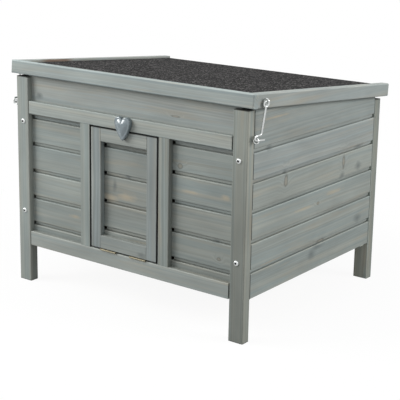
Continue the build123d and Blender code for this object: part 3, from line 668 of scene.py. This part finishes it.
def roofing_felt():
    """Bitumen felt rolled with slate grit."""
    # Dull and dark to the eye, speckled, and with hardly any shine
    material, tree = new_material("slate_gritted_bitumen_felt")
    place = add_node(tree, "ShaderNodeTexCoord")["Object"]
    spread = add_node(tree, "ShaderNodeMapping", {"Vector": place, "Scale": [1 / GRIT] * 3})[0]
    grains = add_node(tree, "ShaderNodeTexVoronoi", {"Vector": spread, "Scale": 1.0})
    draw = add_node(tree, "ShaderNodeSeparateColor", {0: grains["Color"]})[0]
    base = add_node(tree, "ShaderNodeValToRGB", {"Fac": draw}, stops=GRIT_COLOURS)["Color"]
    bump = add_node(tree, "ShaderNodeBump", {"Height": draw, "Strength": 1.0, "Distance": GRIT_RELIEF})[0]
    surface = add_node(tree, "ShaderNodeBsdfPrincipled", {
        "Base Color": base, "Roughness": FELT_ROUGHNESS, "Specular IOR Level": FELT_SHINE, "Normal": bump,
    })[0]
    add_node(tree, "ShaderNodeOutputMaterial", {"Surface": surface})
    return material


felt = roofing_felt()
print("felt grit in mm:", GRIT / MM)

# %% [markdown]
# The hardware is plated steel: bright zinc on the hooks, eyes and screws, and
# a pale brass wash on the hinges. The heart is moulded plastic under a clear
# shine. Plating has no pattern of its own, and one even value would do for the
# colour, but plated and lacquered things are never quite even. One function
# lets colour and gloss come and go together in soft clouds of a given size.

# %% Plating and plastic
CLOUD_DETAIL = 2.0
CLOUD_STRENGTH = 0.3
COAT_ROUGHNESS = 0.05


def mottled_finish(name, mottle, colours, roughness, metallic, bump, coat=0.0):
    """A finish whose colour and gloss come and go in soft mottles of a given size."""
    material, tree = new_material(name)
    place = add_node(tree, "ShaderNodeTexCoord")["Object"]
    spread = add_node(tree, "ShaderNodeMapping", {"Vector": place, "Scale": [1 / mottle] * 3})[0]
    noise = {"Vector": spread, "Scale": 1.0, "Detail": CLOUD_DETAIL}
    cloud = add_node(tree, "ShaderNodeTexNoise", noise)["Fac"]
    pair = {"Factor": cloud, 6: linear(colours[0]), 7: linear(colours[1])}
    base = add_node(tree, "ShaderNodeMix", pair, data_type="RGBA")[2]
    dulled = {"Value": cloud, "To Min": roughness[0], "To Max": roughness[1]}
    gloss = add_node(tree, "ShaderNodeMapRange", dulled)[0]
    relief = {"Height": cloud, "Strength": CLOUD_STRENGTH, "Distance": bump}
    uneven = add_node(tree, "ShaderNodeBump", relief)[0]
    surface = add_node(tree, "ShaderNodeBsdfPrincipled", {
        "Base Color": base, "Roughness": gloss, "Normal": uneven, "Metallic": metallic,
        "Coat Weight": coat, "Coat Roughness": COAT_ROUGHNESS,
    })[0]
    add_node(tree, "ShaderNodeOutputMaterial", {"Surface": surface})
    return material


# Drawn wire under bright zinc: nearly a mirror, with a faint cloud
zinc = mottled_finish(
    "bright_zinc_plated_steel", 4 * MM, ("#c0c3c2", "#d4d7d6"), (0.18, 0.34), 1.0, 0.05 * MM
)
# Stamped leaves with a thin brass wash: a dull warm sheen
brass = mottled_finish(
    "pale_brass_plated_steel", 6 * MM, ("#77715f", "#87816f"), (0.5, 0.65), 1.0, 0.08 * MM
)
# Moulded plastic under clear lacquer: soft colour, sharp highlights
heart_gloss = mottled_finish(
    "moulded_gloss_plastic", 12 * MM, ("#68767b", "#727f85"), (0.22, 0.32), 0.0, 0.05 * MM, 1.0
)
# Painted shade: the sockets get a near-black steel, so they read as small black holes
socket_shade = mottled_finish("shade_dark_socket_steel", 2 * MM, ("#1f2020", "#333434"), (0.5, 0.7), 1.0, 0.05 * MM)
print("hardware finishes:", [finish.name for finish in (zinc, brass, heart_gloss, socket_shade)])

# %% [markdown]
# Each measured piece takes the finish that runs along it. The finishes could be
# given out piece by piece, but names that start alike mostly share one. So the
# table is read from the top, and the first start of a name that fits decides.

# %% Dress the measured pieces
FINISH_BY_START = (
    (felt, ("roof_felt",)),
    (zinc, ("roof_eyes", "leg_eyes", "frame_screws", "button_screw", "hook_")),
    (brass, ("door_hinge", "roof_hinge")),
    (heart_gloss, ("heart_button",)),
    (fir["front_trim"], ("roof_trim_front",)),
    (fir["side_trim"], ("roof_trim",)),
    (fir["shade_dark_panel"], ("roof_panel",)),
    (fir["bare"], ("floor_",)),
    (fir["wedge"], ("side_left_board_6", "side_right_board_6")),
    (fir["pale_side"], ("side_left_board_5", "side_right_board_5")),
    (fir["side"], ("side_",)),
    (fir["header"], ("front_header",)),
    (fir["upper_rail"], ("front_upper_rail",)),
    (fir["front_right"], ("front_boards_right",)),
    (fir["front"], ("front_boards", "rear_boards")),
    (fir["foot_shaded_leg"], ("leg_front_right",)),
    (fir["rear_leg"], ("leg_rear", "corner_batten")),
    (fir["leg"], ("leg_",)),
    (fir["door"], ("door_boards",)),
    (fir["shaded_post"], ("door_post_right",)),
    (fir["post"], ("door_post",)),
    (fir["stile"], ("door_stile",)),
    (fir["door_rail"], ("door_",)),
    (fir["rail"], ("",)),
)
for name, node in nodes.items():
    finish = next(material for material, starts in FINISH_BY_START if name.startswith(starts))
    node.data.materials.clear()
    node.data.materials.append(finish)
print("dressed:", len(nodes))

# %% [markdown]
# The round hardware is drawn anew, smooth where the measured pieces have flat
# facets. Blender keeps a shape and its place apart: a mesh is the shape, and an
# object puts it into the scene. The operators of the menus would do both, but
# they depend on what is selected. A bmesh is built point by point instead, and
# two helpers turn it into a mesh and put that into the scene.

# %% Mesh and object helpers
def plain_mesh(name, bm):
    """The mesh of a finished bmesh."""
    mesh = bpy.data.meshes.new(name)
    bm.to_mesh(mesh)
    bm.free()
    return mesh


def put(name, data):
    """A new object with a mesh, a lamp or a camera in it, linked to the scene."""
    thing = bpy.data.objects.new(name, data)
    bpy.context.scene.collection.objects.link(thing)
    return thing


# %% [markdown]
# The turn button is a moulded heart. Its outline could be traced by hand, but
# it follows a rule: two round lobes that meet in a notch, and two sides that
# bulge down to a blunt tip. So the right half is an arc and a Bezier curve, and
# the left half is its mirror image.

# %% Heart outline
HEART_WIDTH = 34.0 * MM
HEART_HEIGHT = 40.0 * MM
LOBE_RADIUS = 9.1 * MM
LOBE_RISE = 3.9 * MM
LOBE_END = math.radians(10)
SIDE_FULLNESS = 0.45
TIP_HALF_WIDTH = 2.4 * MM
TIP_ROUND = 1.3 * MM
LOBE_STEPS = 20
SIDE_STEPS = 16


def heart_outline():
    """Points round the heart about its pivot, from the notch down the right side and back up the left."""
    centre = Vector((HEART_WIDTH / 2 - LOBE_RADIUS, LOBE_RISE))
    notch = math.acos(-centre.x / LOBE_RADIUS)
    right = []
    for step in range(LOBE_STEPS):
        angle = notch + (-LOBE_END - notch) * step / LOBE_STEPS
        right.append(centre + LOBE_RADIUS * Vector((math.cos(angle), math.sin(angle))))
    start = centre + LOBE_RADIUS * Vector((math.cos(-LOBE_END), math.sin(-LOBE_END)))
    tip_z = LOBE_RISE + LOBE_RADIUS - HEART_HEIGHT
    end = Vector((TIP_HALF_WIDTH, tip_z + TIP_ROUND))
    down = Vector((-math.sin(LOBE_END), -math.cos(LOBE_END)))
    pull = start + (start - end).length * SIDE_FULLNESS * down
    for step in range(SIDE_STEPS + 1):
        t = step / SIDE_STEPS
        right.append((1 - t) ** 2 * start + 2 * t * (1 - t) * pull + t * t * end)
    left = [Vector((-p.x, p.y)) for p in reversed(right[1:])]
    return right + [Vector((0, tip_z))] + left


outline = heart_outline()
print("heart outline points:", len(outline))

# %% [markdown]
# The heart has steep sides, a raised rim, a domed front and a crease that runs
# in from the notch. The measured heart has flat facets. Subdividing it would
# round its edges off, so a smooth heart is drawn ring by ring in its place:
# every ring is the outline, shrunk and moved forward, and towards the middle it
# blends into an oval so that the crease fades out.

# %% Heart mesh
# Each ring's share of the outline's size, and its share of the heart's depth
HEART_PROFILE = (
    (1.0, 0.0), (1.0, 0.32), (0.996, 0.46), (0.984, 0.57), (0.962, 0.65), (0.93, 0.7), (0.9, 0.722),
    (0.88, 0.725), (0.86, 0.72), (0.835, 0.712), (0.8, 0.722), (0.74, 0.762), (0.66, 0.83),
    (0.56, 0.905), (0.45, 0.96), (0.3, 0.99), (0.12, 1.0),
)
OVAL_RADIUS = 13 * MM
DOME_MIDDLE = Vector((0, -4 * MM))
CREASE_FADE = 1.5


def heart_ring(bm, points, share, pivot_x, y, pivot_z):
    """One ring of the heart: its outline about the dome's middle, shrunk and blended into an oval."""
    blend = (1 - share) ** CREASE_FADE
    verts = []
    for p in points:
        out = p - DOME_MIDDLE
        oval = out.normalized() * OVAL_RADIUS
        q = DOME_MIDDLE + share * (out * (1 - blend) + oval * blend)
        verts.append(bm.verts.new((pivot_x + q.x, y, pivot_z + q.y)))
    return verts


def smooth_heart(points):
    """A closed heart that stands on the measured one's back plane and reaches its front plane."""
    low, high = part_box("heart_button")
    back_y, depth = high.y, high.y - low.y
    pivot_x = (low.x + high.x) / 2
    pivot_z = low.z + HEART_HEIGHT - LOBE_RISE - LOBE_RADIUS
    bm = bmesh.new()
    rings = [
        heart_ring(bm, points, share, pivot_x, back_y - forward * depth, pivot_z)
        for share, forward in HEART_PROFILE
    ]
    crown = bm.verts.new((pivot_x, back_y - depth, pivot_z + DOME_MIDDLE.y))
    count = len(points)
    for i in range(count):
        j = (i + 1) % count
        for near, far in zip(rings, rings[1:]):
            bm.faces.new((near[i], near[j], far[j], far[i])).smooth = True
        bm.faces.new((rings[-1][i], rings[-1][j], crown)).smooth = True
    bm.faces.new(list(reversed(rings[0])))
    bmesh.ops.recalc_face_normals(bm, faces=bm.faces)
    mesh = plain_mesh("heart_smooth", bm)
    mesh.materials.append(heart_gloss)
    return put("heart_smooth", mesh)


heart = smooth_heart(outline)
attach(heart, "button")
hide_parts("heart_button")
print("heart faces:", len(heart.data.polygons))

# %% [markdown]
# Hooks and eyes are bent from round wire. A curve with a bevel would do, but a
# wire follows a path, and Geometry Nodes keep that rule in one small tree: the
# path goes in as a chain of edges, becomes a curve, and a circle is swept along
# it. The result is then made a plain mesh, so that it can be handed on.

# %% A Geometry Nodes tree for wire
def new_tree(name, inputs, output):
    """An empty Geometry Nodes tree with named inputs and one geometry output."""
    tree = bpy.data.node_groups.new(name, "GeometryNodeTree")
    for label, kind in inputs.items():
        tree.interface.new_socket(label, in_out="INPUT", socket_type="NodeSocket" + kind)
    tree.interface.new_socket(output, in_out="OUTPUT", socket_type="NodeSocketGeometry")
    return tree, add_node(tree, "NodeGroupInput")


def wire_tree():
    """Sweeps a circle along the edges of a mesh."""
    sockets = {"Path": "Geometry", "Wire Radius": "Float", "Sides": "Int", "Finish": "Material"}
    tree, given = new_tree("wire_along_path", sockets, "Wire")
    path = add_node(tree, "GeometryNodeMeshToCurve", {0: given["Path"]})[0]
    round_wire = {"Resolution": given["Sides"], "Radius": given["Wire Radius"]}
    circle = add_node(tree, "GeometryNodeCurvePrimitiveCircle", round_wire)[0]
    swept = {"Curve": path, "Profile Curve": circle, "Fill Caps": True}
    wire = add_node(tree, "GeometryNodeCurveToMesh", swept)[0]
    smooth = add_node(tree, "GeometryNodeSetShadeSmooth", {0: wire})[0]
    real = add_node(tree, "GeometryNodeRealizeInstances", {0: smooth})[0]
    dressed = add_node(tree, "GeometryNodeSetMaterial", {0: real, "Material": given["Finish"]})[0]
    add_node(tree, "NodeGroupOutput", {0: dressed})
    return tree


def grown(name, host, tree, values):
    """Runs a Geometry Nodes tree on a mesh and returns the result as a plain mesh object."""
    seed = put(name + "_seed", host)
    modifier = seed.modifiers.new("grow", "NODES")
    modifier.node_group = tree
    sockets = {s.name: s.identifier for s in tree.interface.items_tree if s.in_out == "INPUT"}
    for label, value in values.items():
        modifier[sockets[label]] = value
    bpy.context.view_layer.update()
    depsgraph = bpy.context.evaluated_depsgraph_get()
    mesh = bpy.data.meshes.new_from_object(seed.evaluated_get(depsgraph), depsgraph=depsgraph)
    bpy.data.objects.remove(seed)
    mesh.name = name
    return put(name, mesh)


def chain(name, paths):
    """A mesh of edges only: each path is (points, closed)."""
    bm = bmesh.new()
    for points, closed in paths:
        verts = [bm.verts.new(p) for p in points]
        pairs = list(zip(verts, verts[1:])) + ([(verts[-1], verts[0])] if closed else [])
        for a, b in pairs:
            bm.edges.new((a, b))
    return plain_mesh(name, bm)


wires = wire_tree()
print("wire tree nodes:", len(wires.nodes))

# %% [markdown]
# An eye is a ring on a shank that is screwed into the wood: one hangs from each
# end of the roof's front, and one sits in each front leg. The left leg's eye
# was driven in less than the right. A ring could be a torus, but as a path it
# goes through the same tree as the hooks, and its place follows from the box of
# the measured eyes.

# %% The eyes
EYE_WIRE = 1.2 * MM
EYE_RING = 4.5 * MM
EYE_THREAD = 9.0 * MM
RING_STEPS = 32
HALF_HOUSE = 250.0 * MM
HALF_ROOF = 260.5 * MM
ROOF_NECK = 1.5 * MM
# How far each leg's eye stands out, how far it hangs below the roof's eye, and how far in front
RIGHT_CATCH = (2.6 * MM, 57.0 * MM, 10.9 * MM)
LEFT_CATCH = (6.0 * MM, 60.0 * MM, 15.4 * MM)
roof_eye_middle = sum(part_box("roof_eyes"), Vector()) / 2
roof_eye = Vector((HALF_ROOF + ROOF_NECK + EYE_RING, roof_eye_middle.y, roof_eye_middle.z))
hook_pivot = roof_eye - Vector((0, 0, EYE_RING))


def ring(centre, across, up, radius):
    """Points of a circle in the plane of two directions."""
    turns = [2 * math.pi * i / RING_STEPS for i in range(RING_STEPS)]
    return [centre + radius * (across * math.cos(t) + up * math.sin(t)) for t in turns]


def eye_paths(face_x, neck, centre, side):
    """The two paths of one eye on the right (side 1) or the left (side -1): its shank and its ring."""
    start = Vector((side * (face_x - EYE_THREAD), centre.y, centre.z))
    end = Vector((side * (face_x + neck), centre.y, centre.z))
    middle = Vector((side * centre.x, centre.y, centre.z))
    circle = ring(middle, Vector((1, 0, 0)), Vector((0, 0, 1)), EYE_RING)
    return [([start, end], False), (circle, True)]


def leg_eye(neck, reach, forward):
    """The lean of a hook and the middle of its leg eye, both as on the right side."""
    x = HALF_HOUSE + neck + EYE_RING
    lean = math.asin((roof_eye.x - x) / reach)
    return lean, Vector((x, hook_pivot.y - forward, hook_pivot.z - reach * math.cos(lean)))


right_eye = leg_eye(*RIGHT_CATCH)[1]
left_eye = leg_eye(*LEFT_CATCH)[1]
print("right leg eye in mm:", [round(v / MM, 1) for v in right_eye])

# %% [markdown]
# A hook is a loop round the roof eye's wire, a straight rod, and a bent nose
# whose tip lies through the leg's eye. Real hooks are bent over pins, so their
# corners are arcs. The path has only its corners, as a bending plan would, and
# one function rounds them.

# %% The hooks
HOOK_WIRE = 1.7 * MM
HOOK_LOOP = 4.2 * MM
LOOP_TURN = math.radians(20)
LINK_GAP = 0.3 * MM
HOOK_THROAT = 7.4 * MM
HOOK_NOSE = 3.8 * MM
HOOK_HEEL = 0.8 * MM
HOOK_TIP = 22.0 * MM
TIP_FALL = 1.9 * MM
HEEL_BEND = 3.0 * MM
NOSE_BEND = 3.4 * MM
BEND_STEPS = 8


def rounded(corners, bends):
    """A path through the corners, each inner one rounded to its bend radius."""
    path = [corners[0]]
    for before, corner, after, bend in zip(corners, corners[1:], corners[2:], bends):
        a = (before - corner).normalized()
        b = (after - corner).normalized()
        half = a.angle(b) / 2
        middle = corner + (a + b).normalized() * bend / math.sin(half)
        first = (corner + a * bend / math.tan(half) - middle).normalized()
        last = (corner + b * bend / math.tan(half) - middle).normalized()
        for i in range(BEND_STEPS + 1):
            path.append(middle + bend * first.slerp(last, i / BEND_STEPS))
    return path + [corners[-1]]


def hook_paths(catch, side):
    """The paths of one hook: its bent rod and its loop."""
    reach, forward = catch[1:]
    lean = leg_eye(*catch)[0]
    back = Vector((0, 1, 0))
    up = Vector((math.sin(lean), 0, math.cos(lean)))
    out = Vector((math.cos(lean), 0, -math.sin(lean)))
    rise = HOOK_LOOP - HOOK_WIRE - EYE_WIRE - LINK_GAP
    caught = EYE_RING - reach
    flat = [
        (0, rise - HOOK_LOOP),
        (HOOK_HEEL, caught + HOOK_THROAT / 2),
        (-forward - HOOK_NOSE, caught + HOOK_THROAT / 2),
        (-forward - HOOK_NOSE, caught - HOOK_THROAT / 2),
        (HOOK_TIP - forward, -reach - TIP_FALL),
    ]
    corners = [hook_pivot + back * a + up * b for a, b in flat]
    rod = rounded(corners, (HEEL_BEND, NOSE_BEND, NOSE_BEND))
    tangent = back * math.cos(LOOP_TURN) + out * math.sin(LOOP_TURN)
    loop = ring(hook_pivot + up * rise, tangent, up, HOOK_LOOP)
    placed = [[Vector((side * p.x, p.y, p.z)) for p in points] for points in (rod, loop)]
    return [(placed[0], False), (placed[1], True)]


right_hook = hook_paths(RIGHT_CATCH, 1)
left_hook = hook_paths(LEFT_CATCH, -1)
print("right hook points:", [len(points) for points, closed in right_hook])

# %% [markdown]
# Each body gets one wire piece: the roof its two eyes, the house the two eyes
# in its legs, and each hook itself. They could all be one mesh, but the hooks
# swing and the roof lifts, so each has to ride on its own body. The box of the
# measured piece shows whether the drawn wire keeps its place.

# %% Draw the wire pieces
WIRE_SIDES = 14


def wire_piece(name, paths, radius, body, replaced):
    """One body's wire: drawn, checked against the measured piece's box, and put in its place."""
    values = {"Wire Radius": radius, "Sides": WIRE_SIDES, "Finish": zinc}
    piece = grown(name, chain(name + "_path", paths), wires, values)
    low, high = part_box(replaced)
    points = [v.co for v in piece.data.vertices]
    below = [(low[i] - min(c[i] for c in points)) / MM for i in range(3)]
    above = [(max(c[i] for c in points) - high[i]) / MM for i in range(3)]
    beyond = [round(v, 2) for v in below + above]
    print(name, "faces:", len(piece.data.polygons), "mm beyond the measured box:", beyond)
    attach(piece, body)
    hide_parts(replaced)


roof_eye_paths = eye_paths(HALF_ROOF, ROOF_NECK, roof_eye, 1) + eye_paths(HALF_ROOF, ROOF_NECK, roof_eye, -1)
leg_eye_paths = (
    eye_paths(HALF_HOUSE, RIGHT_CATCH[0], right_eye, 1) + eye_paths(HALF_HOUSE, LEFT_CATCH[0], left_eye, -1)
)
wire_piece("roof_eyes_round", roof_eye_paths, EYE_WIRE, "roof", "roof_eyes")
wire_piece("leg_eyes_round", leg_eye_paths, EYE_WIRE, "house", "leg_eyes")
wire_piece("hook_right_round", right_hook, HOOK_WIRE, "hook_right", "hook_right")
wire_piece("hook_left_round", left_hook, HOOK_WIRE, "hook_left", "hook_left")

# %% [markdown]
# Eight button-head screws hold the legs to the corner battens, and two small
# ones hold each leaf of the roof hinges to the wall. A head is turned on a
# lathe and its socket is pressed in. A boolean cut would leave rough triangles,
# so the rings of the profile simply go on into a six-sided hole. The head has
# radius 1, and each screw scales it.

# %% A screw head
HEAD_PROFILE = ((1.0, 0.0), (0.98, 0.16), (0.9, 0.3), (0.76, 0.43), (0.6, 0.5), (0.54, 0.51))
SOCKET_DEPTH = 0.34
SOCKET_REACH = 0.42
# The socket's corners lie a little further out than its flats
SOCKET_LIMIT = 1.2 * SOCKET_REACH
HEAD_SIDES = 24


def head_mesh():
    """A domed head with a hexagon socket, its seat on the plane z = 0; socket faces are marked."""
    turns = [2 * math.pi * i / HEAD_SIDES for i in range(HEAD_SIDES)]
    flats = [SOCKET_REACH / math.cos((t % (math.pi / 3)) - math.pi / 6) for t in turns]
    top = HEAD_PROFILE[-1][1]
    levels = [([radius] * HEAD_SIDES, height) for radius, height in HEAD_PROFILE]
    levels += [(flats, top), (flats, top - SOCKET_DEPTH)]
    bm = bmesh.new()
    rings = [
        [bm.verts.new((r * math.cos(t), r * math.sin(t), height)) for r, t in zip(radii, turns)]
        for radii, height in levels
    ]
    for near, far in zip(rings, rings[1:]):
        for i in range(HEAD_SIDES):
            j = (i + 1) % HEAD_SIDES
            bm.faces.new((near[i], near[j], far[j], far[i]))
    bm.faces.new(rings[-1])
    bm.faces.new(list(reversed(rings[0])))
    bmesh.ops.recalc_face_normals(bm, faces=bm.faces)
    mesh = plain_mesh("screw_head", bm)
    reaches = [max(math.hypot(*mesh.vertices[v].co.xy) for v in face.vertices) for face in mesh.polygons]
    in_socket = [reach < SOCKET_LIMIT for reach in reaches]
    mesh.attributes.new("socket", "BOOLEAN", "FACE").data.foreach_set("value", in_socket)
    return mesh


head = bpy.data.objects.new("screw_head", head_mesh())
print("head faces:", len(head.data.polygons))

# %% [markdown]
# A screw repeats, so Geometry Nodes set a copy of the head on every point of a mesh, turned the way that the
# point's "facing" attribute says. Copies could also be made in a loop, but the tree says once what every
# screw does, and it gives the marked faces of the socket their own near-black finish, which is painted shade.

# %% A Geometry Nodes tree for screws
def screw_tree():
    """Sets one head on every point of a mesh, turned to the point's facing direction."""
    sockets = {
        "Points": "Geometry", "Head": "Object", "Head Radius": "Float",
        "Finish": "Material", "Socket Finish": "Material",
    }
    tree, given = new_tree("screws_on_points", sockets, "Screws")
    one = add_node(tree, "GeometryNodeObjectInfo", {"Object": given["Head"]})["Geometry"]
    named = "GeometryNodeInputNamedAttribute"
    facing = add_node(tree, named, {"Name": "facing"}, data_type="FLOAT_VECTOR")[0]
    socket = add_node(tree, named, {"Name": "socket"}, data_type="BOOLEAN")[0]
    turn = add_node(tree, "FunctionNodeAlignRotationToVector", {"Vector": facing}, axis="Z")[0]
    size = add_node(tree, "ShaderNodeCombineXYZ", {axis: given["Head Radius"] for axis in range(3)})[0]
    set_on = {"Points": given["Points"], "Instance": one, "Rotation": turn, "Scale": size}
    copies = add_node(tree, "GeometryNodeInstanceOnPoints", set_on)[0]
    real = add_node(tree, "GeometryNodeRealizeInstances", {0: copies})[0]
    plated = add_node(tree, "GeometryNodeSetMaterial", {0: real, "Material": given["Finish"]})[0]
    shaded_socket = {0: plated, "Selection": socket, "Material": given["Socket Finish"]}
    dressed = add_node(tree, "GeometryNodeSetMaterial", shaded_socket)[0]
    add_node(tree, "NodeGroupOutput", {0: dressed})
    return tree


def facing_points(name, places):
    """A mesh of single points, each with the direction that its screw faces."""
    mesh = bpy.data.meshes.new(name)
    mesh.from_pydata([place for place, facing in places], [], [])
    facings = mesh.attributes.new("facing", "FLOAT_VECTOR", "POINT")
    facings.data.foreach_set("vector", [value for place, facing in places for value in facing])
    return mesh


screws = screw_tree()
print("screw tree nodes:", len(screws.nodes))

# %% [markdown]
# The frame screws sit two to a leg, on the front of the front legs and on the
# back of the rear ones. The hinge screws sit on the wall leaves at the rear.
# The points could be read off the model one by one, but they repeat to the left
# and right, so loops place them. Both kinds are fixed to the house.

# %% Set the screws
FRONT_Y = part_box("leg_front_right")[0].y
REAR_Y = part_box("leg_rear_right")[1].y
SCREW_X = 234.5 * MM
SCREW_LOW = 133.0 * MM
SCREW_HIGH = 298.06 * MM
SCREW_HEAD = 4.6 * MM
HINGE_HEAD = 2.4 * MM
HINGE_X = 150 * MM
HINGE_HALF_SPACING = 16 * MM
LEAF_THICKNESS = 1.0 * MM
LEAF_HALF_HEIGHT = 5 * MM
leaf_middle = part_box("roof_hinge_wall_leaves")[0].z + LEAF_HALF_HEIGHT
frame_places = [
    ((x, y, z), facing)
    for x in (-SCREW_X, SCREW_X)
    for z in (SCREW_LOW, SCREW_HIGH)
    for y, facing in ((FRONT_Y, (0, -1, 0)), (REAR_Y, (0, 1, 0)))
]
hinge_places = [
    ((side * HINGE_X + step, REAR_Y + LEAF_THICKNESS, leaf_middle), (0, 1, 0))
    for side in (-1, 1)
    for step in (-HINGE_HALF_SPACING, HINGE_HALF_SPACING)
]
frame_heads = grown(
    "frame_screw_heads", facing_points("frame_screw_points", frame_places), screws,
    {"Head": head, "Head Radius": SCREW_HEAD, "Finish": zinc, "Socket Finish": socket_shade},
)
hinge_heads = grown(
    "hinge_screw_heads", facing_points("hinge_screw_points", hinge_places), screws,
    {"Head": head, "Head Radius": HINGE_HEAD, "Finish": brass, "Socket Finish": socket_shade},
)
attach(frame_heads, "house")
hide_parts("frame_screws")
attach(hinge_heads, "house")
bpy.data.objects.remove(head)
for piece, node in ((frame_heads, "frame_screws"), (hinge_heads, "roof_hinge_wall_leaves")):
    ys = [v.co.y / MM for v in piece.data.vertices]
    measured = [round(corner.y / MM, 2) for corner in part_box(node)]
    print(piece.name, "y in mm:", round(min(ys), 2), round(max(ys), 2), "measured:", measured)

# %% [markdown]
# The camera stands where the picture was taken from: a long lens to the right
# of the front, above the roof's height, and rolled about one degree. A
# Track To constraint could aim it, but it would level the horizon. So the three
# axes of the camera are worked out from two angles and the roll.

# %% Camera
AZIMUTH = math.radians(36.731)
ELEVATION = math.radians(13.369)
ROLL = math.radians(1.038)
DISTANCE = 2025.2 * MM
TARGET = Vector((1.3, 1.0, 225.1)) * MM
LENS_MM = 99.94
SENSOR_MM = 36.0
FRAME_DROP = -0.1


def aim_camera():
    """Makes the picture's camera."""
    level = math.cos(ELEVATION)
    back = Vector((math.sin(AZIMUTH) * level, -math.cos(AZIMUTH) * level, math.sin(ELEVATION)))
    right = Vector((math.cos(AZIMUTH), math.sin(AZIMUTH), 0))
    up = back.cross(right)
    rolled_right = right * math.cos(ROLL) + up * math.sin(ROLL)
    rolled_up = up * math.cos(ROLL) - right * math.sin(ROLL)
    data = bpy.data.cameras.new("picture_camera")
    data.lens = LENS_MM
    data.sensor_width = SENSOR_MM
    data.shift_y = FRAME_DROP
    camera = put("picture_camera", data)
    axes = Matrix((rolled_right, rolled_up, back)).transposed().to_4x4()
    camera.matrix_world = Matrix.Translation(TARGET + back * DISTANCE) @ axes
    bpy.context.scene.camera = camera
    return camera


camera = aim_camera()
print("camera at", [round(v, 3) for v in camera.matrix_world.translation])

# %% [markdown]
# Studio light: a soft box high at the front left for the door side, and one
# beyond the right rear corner for the other wall. That is why every edge that
# faces right on the front is dark, and the roof eye's shadow falls forward. Two
# weak ones fill in. Point lamps would cast hard shadows, so all are large areas.

# %% Lamps
# Name, place, size in metres and power in watts
LAMPS = (
    ("soft_box_front_left", (-2.0, -1.7, 1.5), 1.6, 72.0),
    ("soft_box_right_rear", (3.4, 1.2, 1.8), 1.4, 76.0),
    ("soft_box_right", (2.4, -0.2, 1.5), 1.6, 12.0),
    ("soft_box_above_front", (0.1, -1.5, 1.5), 2.0, 9.0),
)
house_middle = (cad_low + cad_high) / 2
for name, place, size, power in LAMPS:
    data = bpy.data.lights.new(name, "AREA")
    data.size = size
    data.energy = power
    lamp = put(name, data)
    lamp.location = place
    lamp.rotation_euler = (house_middle - Vector(place)).to_track_quat("-Z", "Y").to_euler()

# %% [markdown]
# The picture is cut out on white. Brighter lamps would bleach the house before
# they made a wall white, so the world is white only to the camera, to glass and
# in reflections, and the light that it throws on the house is dimmer.

# %% White surround
WHITE = "#ffffff"
ROOM_LIGHT = 0.3


def white_surround():
    """A world that looks white, and lights the object evenly and dimly."""
    world = bpy.data.worlds.new("white_surround")
    world.use_nodes = True
    tree = world.node_tree
    tree.nodes.clear()
    path = add_node(tree, "ShaderNodeLightPath")
    seen = path["Is Camera Ray"]
    for kind in ("Is Transmission Ray", "Is Glossy Ray"):
        seen = add_node(tree, "ShaderNodeMath", {0: seen, 1: path[kind]}, operation="MAXIMUM")[0]
    level = add_node(tree, "ShaderNodeMapRange", {"Value": seen, "To Min": ROOM_LIGHT, "To Max": 1.0})[0]
    background = add_node(tree, "ShaderNodeBackground", {"Color": linear(WHITE), "Strength": level})[0]
    add_node(tree, "ShaderNodeOutputWorld", {"Surface": background})
    bpy.context.scene.world = world


white_surround()
bpy.context.scene.view_settings.view_transform = "Standard"
print("room light:", ROOM_LIGHT)

# %% [markdown]
# The floor is a sheet of white paper. A shadow catcher would need a second
# layer, so the paper glows white to the camera and lets a little of its true
# shading through close to the house. That keeps a faint shadow under the legs.

# %% White floor
PAPER = "#a4a4a4"
FLOOR_SHADOW = 0.08
SHADOW_CORE = 0.2
SHADOW_REACH = 0.75
FLOOR_SIZE = 8.0


def white_floor():
    """A white sheet that takes a faint shadow close to the house."""
    # Matt paper: even and white to the eye, without any gloss
    material, tree = new_material("white_paper_floor")
    path = add_node(tree, "ShaderNodeLightPath")
    either = {0: path["Is Camera Ray"], 1: path["Is Glossy Ray"]}
    seen = add_node(tree, "ShaderNodeMath", either, operation="MAXIMUM")[0]
    tones = {"Factor": seen, 6: linear(PAPER), 7: linear(WHITE)}
    paper = add_node(tree, "ShaderNodeMix", tones, data_type="RGBA")[2]
    surface = add_node(tree, "ShaderNodeBsdfPrincipled", {
        "Base Color": paper, "Roughness": 1.0, "Specular IOR Level": 0.0,
    })[0]
    place = add_node(tree, "ShaderNodeTexCoord")["Object"]
    away = add_node(tree, "ShaderNodeVectorMath", {0: place}, operation="LENGTH")["Value"]
    fade = {
        "Value": away, "From Min": SHADOW_CORE, "From Max": SHADOW_REACH,
        "To Min": 1 - FLOOR_SHADOW, "To Max": 1.0,
    }
    veil = add_node(tree, "ShaderNodeMapRange", fade, interpolation_type="SMOOTHSTEP")[0]
    veiled = add_node(tree, "ShaderNodeMath", {0: seen, 1: veil}, operation="MULTIPLY")[0]
    glow = add_node(tree, "ShaderNodeEmission", {"Color": linear(WHITE), "Strength": 1.0})[0]
    mixed = add_node(tree, "ShaderNodeMixShader", {0: veiled, 1: surface, 2: glow})[0]
    add_node(tree, "ShaderNodeOutputMaterial", {"Surface": mixed})
    bm = bmesh.new()
    bmesh.ops.create_grid(bm, x_segments=1, y_segments=1, size=FLOOR_SIZE)
    mesh = plain_mesh("floor_sheet", bm)
    mesh.materials.append(material)
    put("floor_sheet", mesh)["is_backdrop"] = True


white_floor()
print("floor shadow:", FLOOR_SHADOW)

# %% [markdown]
# Dressing must not make the house bigger. The change from the box of the measured model to the box of the
# dressed one is printed, because a wrong size is easier to see in numbers than in a picture.

# %% Record the sizes and finish
low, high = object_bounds()
changes = [v - c for v, c in zip((*low, *high), (*cad_low, *cad_high))]
print("change of the box in mm:", [round(v / MM, 2) for v in changes])
